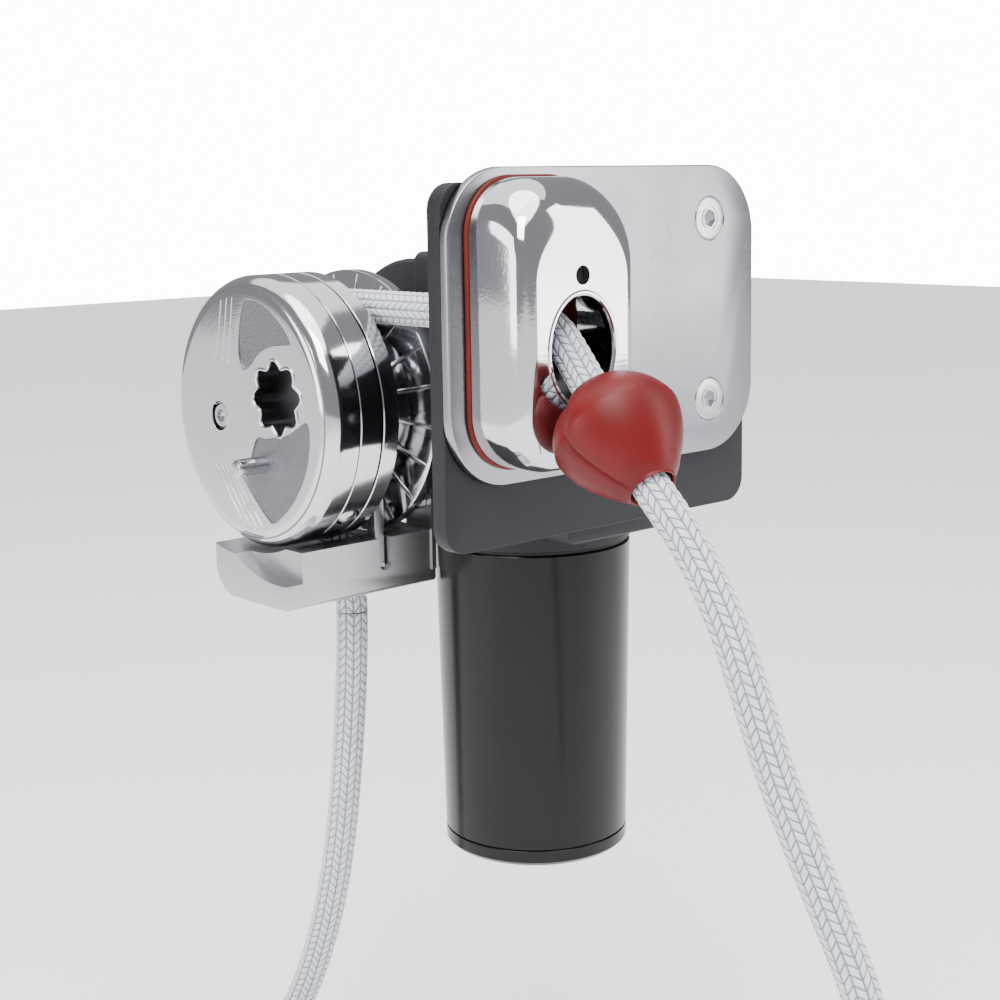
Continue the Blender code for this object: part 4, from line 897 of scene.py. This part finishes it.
# %% [markdown]
# ## Gypsy and clutch
#
# Everything here is turned on the shaft. The outer cheek carries the groove's floor. The inner cheek's
# wall is set with twenty ribs that grip the rope. The clutch ring and the cap follow, parted by two fine
# seams.
# %% Cheeks and ring
SHAFT = (0, GYPSY_Y, GYPSY_Z)
BORE = 9.3 * MM
outer = [
    (-46.8, 31.5), (-49.1, 50.4), (-49.6, 51), (-56.0, 51), (-56.3, 50.7), (-56.3, 9.3), (-35.8, 9.3),
    (-35.8, 31.5), (-46.8, 31.5)
]
outer = mm(outer)
finish_piece(spun(outer, SHAFT, steps=192), "gypsy_outer_cheek", TURNED, "gypsy", "gypsy_outer_half")
inner = [
    (-35.5, 9.3), (-25.7, 9.3), (-25.7, 48.5), (-26.4, 50.4), (-27.7, 51), (-32.0, 51), (-32.5, 50.4),
    (-34.4, 31.5), (-35.5, 31.5), (-35.5, 9.3)
]
inner = mm(inner)
finish_piece(spun(inner, SHAFT, steps=192), "gypsy_inner_cheek", TURNED, "gypsy", "gypsy_inner_half")
RIBS = 20
ribs = bmesh.new()
for number in range(RIBS):
    rib = bmesh.ops.create_cube(ribs, size=1)["verts"]
    bmesh.ops.scale(ribs, vec=(1.6 * MM, 1.7 * MM, 17.5 * MM), verts=rib)
    bmesh.ops.rotate(ribs, cent=(0, 0, 0), matrix=Matrix.Rotation(math.radians(7.7), 3, "Y"), verts=rib)
    bmesh.ops.translate(ribs, vec=(-33.2 * MM, 0, 41.3 * MM), verts=rib)
    bmesh.ops.rotate(
        ribs, cent=(0, 0, 0), matrix=Matrix.Rotation(math.radians(360 / RIBS * number + 7), 3, "X"), verts=rib
    )
    bmesh.ops.translate(ribs, vec=SHAFT, verts=rib)
bmesh.ops.bevel(
    ribs, geom=ribs.edges[:], offset=0.25 * MM, segments=2, profile=0.5, affect="EDGES", material=-1
)
ribs = finish_piece(ribs, "gypsy_inner_ribs", FASTENER, "gypsy")
ring = [(-57.1, 9.3), (-57.1, 50.7), (-57.4, 51), (-66.3, 51), (-66.6, 50.7), (-66.6, 9.3), (-57.1, 9.3)]
ring = mm(ring)
ring = finish_piece(spun(ring, SHAFT, steps=192), "clutch_ring_turned", TURNED, "shaft", "clutch_ring")
turn = math.radians(227)
outwards = Vector((0, math.cos(turn), math.sin(turn)))
middle = Vector((-61.85 * MM, GYPSY_Y, GYPSY_Z))
carve(ring, round_cutter("stud_room", middle, outwards, 4.55 * MM, 43 * MM, 56 * MM, 48))
dome = [(52.1, 0), (52.0, 1.5), (51.6, 2.8), (50.8, 3.8), (49.8, 4.2), (43.5, 4.2), (43.5, 0)]
dome = mm(dome)
finish_piece(spun(dome, middle, outwards, 64), "ring_stud_domed", FASTENER, "shaft", "ring_stud")

# %% [markdown]
# The cap's face has a star socket inside a polished boss, two shallow sand-textured fields, and two
# groups of four fine ridges beside them. The sand comes from a second material that lies only on the
# floor of the fields. A third, dark steel inside the star socket is painted shade for that deep recess.
# %% Cap
CAP_FACE = -80.5 * MM
cap_profile = [
    (-70.4 * MM, 0), (-70.4 * MM, BORE), (-66.9 * MM, BORE), (-66.9 * MM, 50.6 * MM), (-67.3 * MM, 51 * MM)
]
for step in range(1, 17):
    t = math.radians(90 * step / 16)
    cap_profile.append((CAP_FACE + 7 * MM * (1 - math.sin(t)), 51 * MM - 7 * MM * (1 - math.cos(t))))
cap_profile.append((CAP_FACE, 0))
cap = finish_piece(
    spun(cap_profile, SHAFT, steps=192), "clutch_cap_turned", TURNED, "cap", "clutch_cap", sharp=40
)
STAR = (88.0 * MM, 35.6 * MM)
star = []
for step in range(128):
    t = 2 * math.pi * step / 128
    lobe = abs(math.cos(4 * t + math.pi * 0.12))
    reach = 0.80 + 0.2 * lobe**1.4
    star.append((STAR[0] + 15.4 * MM * reach * math.cos(t), STAR[1] + 14.2 * MM * reach * math.sin(t)))
UPPER_FIELD = [
    (105.7, 70.5), (98.0, 70.3), (90.0, 67.0), (82.5, 61.6), (78.2, 56.2), (83.0, 55.2), (91.0, 54.2)
]
UPPER_FIELD += [(98.5, 51.0), (104.0, 46.5), (109.0, 44.8), (111.5, 50.0), (111.0, 58.0), (108.5, 67.0)]
LOWER_FIELD = [
    (101.5, 19.8), (95.5, 20.2), (89.8, 21.2), (82.3, 22.6), (76.0, 25.6), (70.5, 28.3), (68.3, 25.8)
]
LOWER_FIELD += [
    (68.6, 18.8), (71.5, 9.4), (78.6, -0.8), (86.0, -7.4), (92.5, -11.2), (96.5, -10.0), (104.5, -3.5)
]
LOWER_FIELD += [(112.5, 4.8), (107.5, 8.0), (105.5, 13.0)]


def rounded_outline(points, steps=10):
    """A closed smooth line through the corners of a field."""
    points = [Vector(p) * MM for p in points]
    out = []
    count = len(points)
    for i in range(count):
        a, b, c, d = (points[(i + k - 1) % count] for k in range(4))
        for step in range(steps):
            t = step / steps
            out.append(
                tuple(
                    0.5 * (
                        2 * b + (c - a) * t + (2 * a - 5 * b + 4 * c - d) * t * t + (
                            3 * b - a - 3 * c + d
                        ) * t**3
                    )
                )
            )
    return out


cutters = [cutter_of(slab(star, CAP_FACE - 5 * MM, CAP_FACE + 9.3 * MM, 0, "YZ"), "star")]
for field in (UPPER_FIELD, LOWER_FIELD):
    cutters.append(
        cutter_of(slab(rounded_outline(field), CAP_FACE - 5 * MM, CAP_FACE + 0.6 * MM, 0, "YZ"), "field")
    )
CAP_SCREW, PEG = (126 * MM, 26 * MM), (99 * MM, 10 * MM)
cutters.append(round_cutter("screw_room", (CAP_FACE, *CAP_SCREW), (-1, 0, 0), 5.6 * MM, -6.3 * MM, 5 * MM))
carve(cap, *cutters)
cap.data.set_sharp_from_angle(angle=math.radians(40))
SAND = satin("cap_sand", (0.20, 0.20, 0.225), 0.5, 0.9)
cap.data.materials.append(SAND)
# Painted shade: the star socket's walls and floor get a near-black steel for the shade in the recess.
SOCKET_SHADE = satin("socket_painted_shade", (0.10, 0.10, 0.11), 0.35, 0.1)
cap.data.materials.append(SOCKET_SHADE)
sandy = 0
for polygon in cap.data.polygons:
    if abs(polygon.normal.x) > 0.9 and abs(polygon.center.x - CAP_FACE - 0.6 * MM) < 0.1 * MM:
        polygon.material_index = 1
        sandy += 1
    # Faces deeper than the cap's face inside the star socket take the painted-shade steel.
    if polygon.center.x > CAP_FACE + 1.0 * MM and math.hypot(
        polygon.center.y - STAR[0], polygon.center.z - STAR[1]
    ) < 16 * MM:
        polygon.material_index = 2
print("cap", len(cap.data.polygons), "faces,", sandy, "of them sandy")
lip = bead([(CAP_FACE + 0.15 * MM, y, z) for y, z in star], 0.7 * MM, 8)
lip = finish_piece(lip, "star_socket_lip", FASTENER, "cap")

# %% [markdown]
# The ridges are thin half-round bars. The peg is turned with a soft end, and the cap's screw has a
# hexagon socket.
# %% Ridges, peg and screw
RIDGES = [((121.7, 70.1), (126.9, 48.3)), ((117.9, 71.0), (122.6, 47.4)), ((114.3, 71.4), (118.8, 46.5))]
RIDGES += [((130.5, 7.5), (111.3, -15.4)), ((127.4, 8.2), (107.6, -15.2)), ((124.0, 7.9), (103.6, -14.6))]
RIDGES += [((120.5, 7.3), (99.8, -13.6))]
ridges = bmesh.new()
for (y0, z0), (y1, z1) in RIDGES:
    first, last = Vector((0, y0, z0)) * MM, Vector((0, y1, z1)) * MM
    bar = bmesh.ops.create_cube(ridges, size=1)["verts"]
    bmesh.ops.scale(ridges, vec=(0.7 * MM, 0.75 * MM, (last - first).length), verts=bar)
    turn = Vector((0, 0, 1)).rotation_difference(last - first).to_matrix()
    bmesh.ops.rotate(ridges, cent=(0, 0, 0), matrix=turn, verts=bar)
    bmesh.ops.translate(ridges, vec=(first + last) / 2 + Vector((CAP_FACE, 0, 0)), verts=bar)
bmesh.ops.bevel(
    ridges, geom=ridges.edges[:], offset=0.22 * MM, segments=2, profile=0.5, affect="EDGES", material=-1
)
ridges = finish_piece(ridges, "cap_ridges", FASTENER, "cap")
peg_profile = [(11.5, 0), (11.5, 2.0), (11.3, 2.7), (10.7, 3.2), (9.5, 3.3), (-5.9, 3.3), (-5.9, 0)]
peg_profile = mm(peg_profile)
finish_piece(
    spun(peg_profile, (CAP_FACE, *PEG), (-1, 0, 0), 64), "release_peg_turned", FASTENER, "cap",
    "release_peg"
)
head = [(-0.6, 0), (-0.6, 4.1), (-1.1, 4.6), (-6, 4.6), (-6, 0)]
head = mm(head)
head = finish_piece(
    spun(head, (CAP_FACE, *CAP_SCREW), (-1, 0, 0), 64), "cap_screw_turned", FASTENER, "cap", "cap_screw"
)
carve(head, round_cutter("hex", (CAP_FACE, *CAP_SCREW), (-1, 0, 0), 2.7 * MM, -3.6 * MM, 1 * MM, 6))

# %% [markdown]
# ## Gearbox and motor
#
# The casting joins the round wheel case, the block that bolts to the plate and the motor's seat. The
# motor's cover is a slightly tapered can with a parting line and a chamfer at its foot.
# %% Gearbox
MOTOR_AT = (18 * MM, 58.5 * MM, 0)
block_points = round_rect(-12 * MM, 43 * MM, -18 * MM, 86 * MM, 4 * MM, 6)
casting = finish_piece(
    slab(block_points, 7.3 * MM, 92 * MM, 1.2 * MM), "gearbox_casting", CAST_GREY, "base", "gearbox_housing"
)
case = [(40, 0), (40, 54), (1.5, 54), (0, 52.5), (0, 20), (-8.6, 20), (-9, 19.6), (-9, 0)]
case = cutter_of(spun(mm(case), SHAFT, steps=160), "case")
seat = cutter_of(
    spun(
        [(-10 * MM, 0), (-10 * MM, 38.2 * MM), (-24.4 * MM, 38.2 * MM), (-24.4 * MM, 0)], MOTOR_AT,
        (0, 0, 1), 128
    ),
    "seat"
)
carve(casting, case, seat, operation="UNION")
room = [(48, 0), (48, 43), (6, 43), (6, 15.3), (0.7, 15.3), (0.7, 12.5), (-14, 12.5), (-14, 0)]
room = cutter_of(spun(mm(room), SHAFT, steps=120), "wheel_room")
cover_room = slab(
    [(52 * MM, -26.4 * MM), (182 * MM, -26.4 * MM), (182 * MM, 95 * MM), (52 * MM, 95 * MM)], 38 * MM,
    48 * MM, 0, "YZ"
)
worm_way = round_cutter("worm_way", MOTOR_AT, (0, 0, 1), 11 * MM, -35 * MM, 60 * MM, 48)
carve(casting, room, cutter_of(cover_room, "cover_room"), worm_way)
cover = [
    (50.3, 0), (50.3, 17.5), (50, 18), (45.6, 22), (45.4, 52.6), (45.0, 53.4), (44.3, 54), (39.4, 54),
    (39.4, 0)
]
cover = finish_piece(
    spun(mm(cover), SHAFT, steps=160), "gearbox_cover_turned", CAST_GREY, "base", "gearbox_cover"
)
carve(cover, round_cutter("bearing_room", SHAFT, (1, 0, 0), 15.3 * MM, 30 * MM, 44.7 * MM))
print("casting", len(casting.data.polygons), "faces")

# %% Motor
can = [(-26, 33), (-26, 37.9), (-26.4, 38.2), (-141.1, 36.1), (-141.5, 35.8), (-141.5, 33.1), (-26, 33)]
can = mm(can)
can = finish_piece(spun(can, MOTOR_AT, (0, 0, 1), 192), "motor_can", MOTOR_BLACK, "base", "motor_housing")
foot = [
    (-136.5, 0), (-136.5, 32.8), (-141.8, 32.8), (-141.8, 35.9), (-142.0, 36.1), (-146.3, 36.1),
    (-147.8, 34.6), (-148, 34.2), (-148, 0)
]
foot = mm(foot)
foot = finish_piece(spun(foot, MOTOR_AT, (0, 0, 1), 192), "motor_foot", MOTOR_BLACK, "base", "motor_end_cap")

# %% [markdown]
# ## Stripper bracket
#
# A bar under the gypsy, cut to follow its rim, with a lower lip at its outer end, a slot for the rope and
# another for the finger that stands in the groove.
# %% Bracket
rear = arc((111 * MM, -29 * MM), 12 * MM, 270, 360, 16)
front = arc((79 * MM, -39 * MM), 2 * MM, 180, 270, 6)
points = [(77 * MM, -20.3 * MM)] + front + rear + [
    (123 * MM, -17.3 * MM), (120 * MM, -17.3 * MM), (117 * MM, -20.3 * MM)
]
bar = finish_piece(
    slab(points, -86.7 * MM, -16 * MM, 0.5 * MM, "YZ"), "stripper_bracket_cut", SATIN, "base",
    "stripper_bracket"
)


def box_cutter(name, low, high):
    points = [(low[1], low[2]), (high[1], low[2]), (high[1], high[2]), (low[1], high[2])]
    return cutter_of(slab(points, low[0], high[0], 0, "YZ"), name)


lug = box_cutter("lug", (-18.5 * MM, 76.3 * MM, -36 * MM), (-15 * MM, 92 * MM, 8 * MM))
pad = box_cutter("pad", (-17 * MM, 77 * MM, -17 * MM), (-12.3 * MM, 91 * MM, 7 * MM))
carve(bar, lug, pad, operation="UNION")
cutters = [round_cutter("motor_room", MOTOR_AT, (0, 0, 1), 38.8 * MM, -60 * MM, 20 * MM, 96)]
cutters.append(round_cutter("rim_room", SHAFT, (1, 0, 0), 52.7 * MM, -95 * MM, -24.2 * MM, 192))
cutters.append(round_cutter("lip_room", (0, 82 * MM, 20 * MM), (1, 0, 0), 52 * MM, -95 * MM, -79.4 * MM, 192))
slot = [
    (ROPE_X + a, b) for a,
    b in arc((0, 98 * MM), 8 * MM, 180, 360, 20) + arc((0, 109.5 * MM), 8 * MM, 0, 180, 20)
]
bm = bmesh.new()
lower_ring = bm.faces.new([bm.verts.new((x, y, -60 * MM)) for x, y in slot])
grown = bmesh.ops.extrude_face_region(bm, geom=[lower_ring])
bmesh.ops.translate(
    bm, vec=(0, 0, 60 * MM), verts=[v for v in grown["geom"] if isinstance(v, bmesh.types.BMVert)]
)
cutters.append(cutter_of(bm, "rope_slot"))
cutters.append(
    box_cutter("finger_slot", (ROPE_X - 2.8 * MM, 70 * MM, -30 * MM), (ROPE_X + 2.8 * MM, 85.5 * MM, 0))
)
cutters.append(round_cutter("slot_end", (ROPE_X, 0, -30 * MM), (0, 1, 0), 2.8 * MM, 70 * MM, 85.5 * MM, 32))
carve(bar, *cutters)
bar.data.set_sharp_from_angle(angle=math.radians(25))
half = 2.2 * MM
points = [(80, -32.3), (85, -32.3), (85, -14), (93, -7), (91, -4.5), (81, -1.5), (80, -4)]
finger = slab(mm(points), ROPE_X - half, ROPE_X + half, 0.5 * MM, "YZ")
finger = finish_piece(finger, "stripper_finger_cut", SATIN, "base", "stripper_finger")
print("bracket", len(bar.data.polygons), "faces")

# %% [markdown]
# ## Finishes on the CAD parts that keep their own shape
# %% Node materials
NODE_FINISH = {
    "backing_plate": DARK_PLATE,
    "face_plate": MIRROR,
    "hood": HOOD_STEEL,
    "hood_gasket": GASKET_RED,
    "rope_saddle": SADDLE_BLACK,
    "gearbox_housing": CAST_GREY,
    "gearbox_cover": CAST_GREY,
    "cover_gasket": BLACK_RUBBER,
    "motor_gasket": BLACK_RUBBER,
    "shaft_seal": BLACK_RUBBER,
    "stripper_bracket": SATIN,
    "stripper_finger": SATIN,
    "motor_housing": MOTOR_BLACK,
    "motor_end_cap": MOTOR_BLACK,
    "motor_magnets": FERRITE,
    "armature": COPPER,
    "terminal_stud_1": COPPER,
    "terminal_stud_2": COPPER,
    "worm_wheel": BRONZE,
    "clutch_ring": TURNED,
    "clutch_cap": TURNED,
    "gypsy_inner_half": TURNED,
    "gypsy_outer_half": TURNED,
    "rope_thimble": HOOD_STEEL,
}
for name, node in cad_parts.items():
    finish = NODE_FINISH.get(
        name, FASTENER if "screw" in name or "nut" in name or "stud" in name else PLAIN_STEEL
    )
    node.data.materials.clear()
    node.data.materials.append(finish)

# %% [markdown]
# ## Studio
#
# A pale floor, a soft world, four soft boxes and a wide sky light for the floor. What polished steel
# shows is the room, so the room is darker to the sides than the white that the camera sees behind the
# object.
# %% Floor, world and lights
bm = bmesh.new()
bmesh.ops.create_grid(bm, x_segments=1, y_segments=1, size=6.0)
bmesh.ops.translate(bm, vec=(0, 0, FLOOR - 0.5 * MM), verts=bm.verts)
floor_paint = Paint("pale_floor", (0.96, 0.96, 0.965), 0.75)
floor_grain = floor_paint.noise(floor_paint.place(), 3.0)
floor_paint.set("Roughness", 0.55 + floor_grain * 0.1)
floor = finish_piece(bm, "floor", floor_paint.material, None)

world = bpy.data.worlds.new("studio")
bpy.context.scene.world = world
world.use_nodes = True
tree = world.node_tree
background = tree.nodes["Background"]
background.inputs["Color"].default_value = (0.40, 0.40, 0.42, 1)
background.inputs["Strength"].default_value = 1.0
seen = tree.nodes.new("ShaderNodeBackground")
seen.inputs["Color"].default_value = (1, 1, 1, 1)
seen.inputs["Strength"].default_value = 14.0
path_node = tree.nodes.new("ShaderNodeLightPath")
mixer = tree.nodes.new("ShaderNodeMixShader")
tree.links.new(path_node.outputs["Is Camera Ray"], mixer.inputs[0])
tree.links.new(background.outputs[0], mixer.inputs[1])
tree.links.new(seen.outputs[0], mixer.inputs[2])
tree.links.new(mixer.outputs[0], tree.nodes["World Output"].inputs["Surface"])


def soft_light(name, place, target, size, power, tall=None):
    """A rectangular soft box that looks at a point."""
    data = bpy.data.lights.new(name, "AREA")
    data.shape = "RECTANGLE"
    data.size = size
    data.size_y = tall or size
    data.energy = power
    lamp = bpy.data.objects.new(name, data)
    bpy.context.scene.collection.objects.link(lamp)
    lamp.location = place
    lamp.rotation_euler = (Vector(target) - Vector(place)).to_track_quat("-Z", "Y").to_euler()
    return lamp


soft_light("key", (-1.0, -0.8, 1.3), (0, 0.03, 0), 0.9, 30)
soft_light("fill", (-1.4, 0.5, 0.3), (0, 0.05, 0), 0.8, 10)
soft_light("rim", (0.9, -0.9, 0.5), (0, 0.03, 0), 0.5, 12, 1.3)
soft_light("top", (0.1, 0.5, 1.5), (0, 0.05, 0), 2.0, 22)

sun = bpy.data.objects.new("sky", bpy.data.lights.new("sky", "SUN"))
sun.data.angle = math.radians(60)
sun.data.energy = 4.0
sun.rotation_euler = (math.radians(12), math.radians(-10), 0)
bpy.context.scene.collection.objects.link(sun)
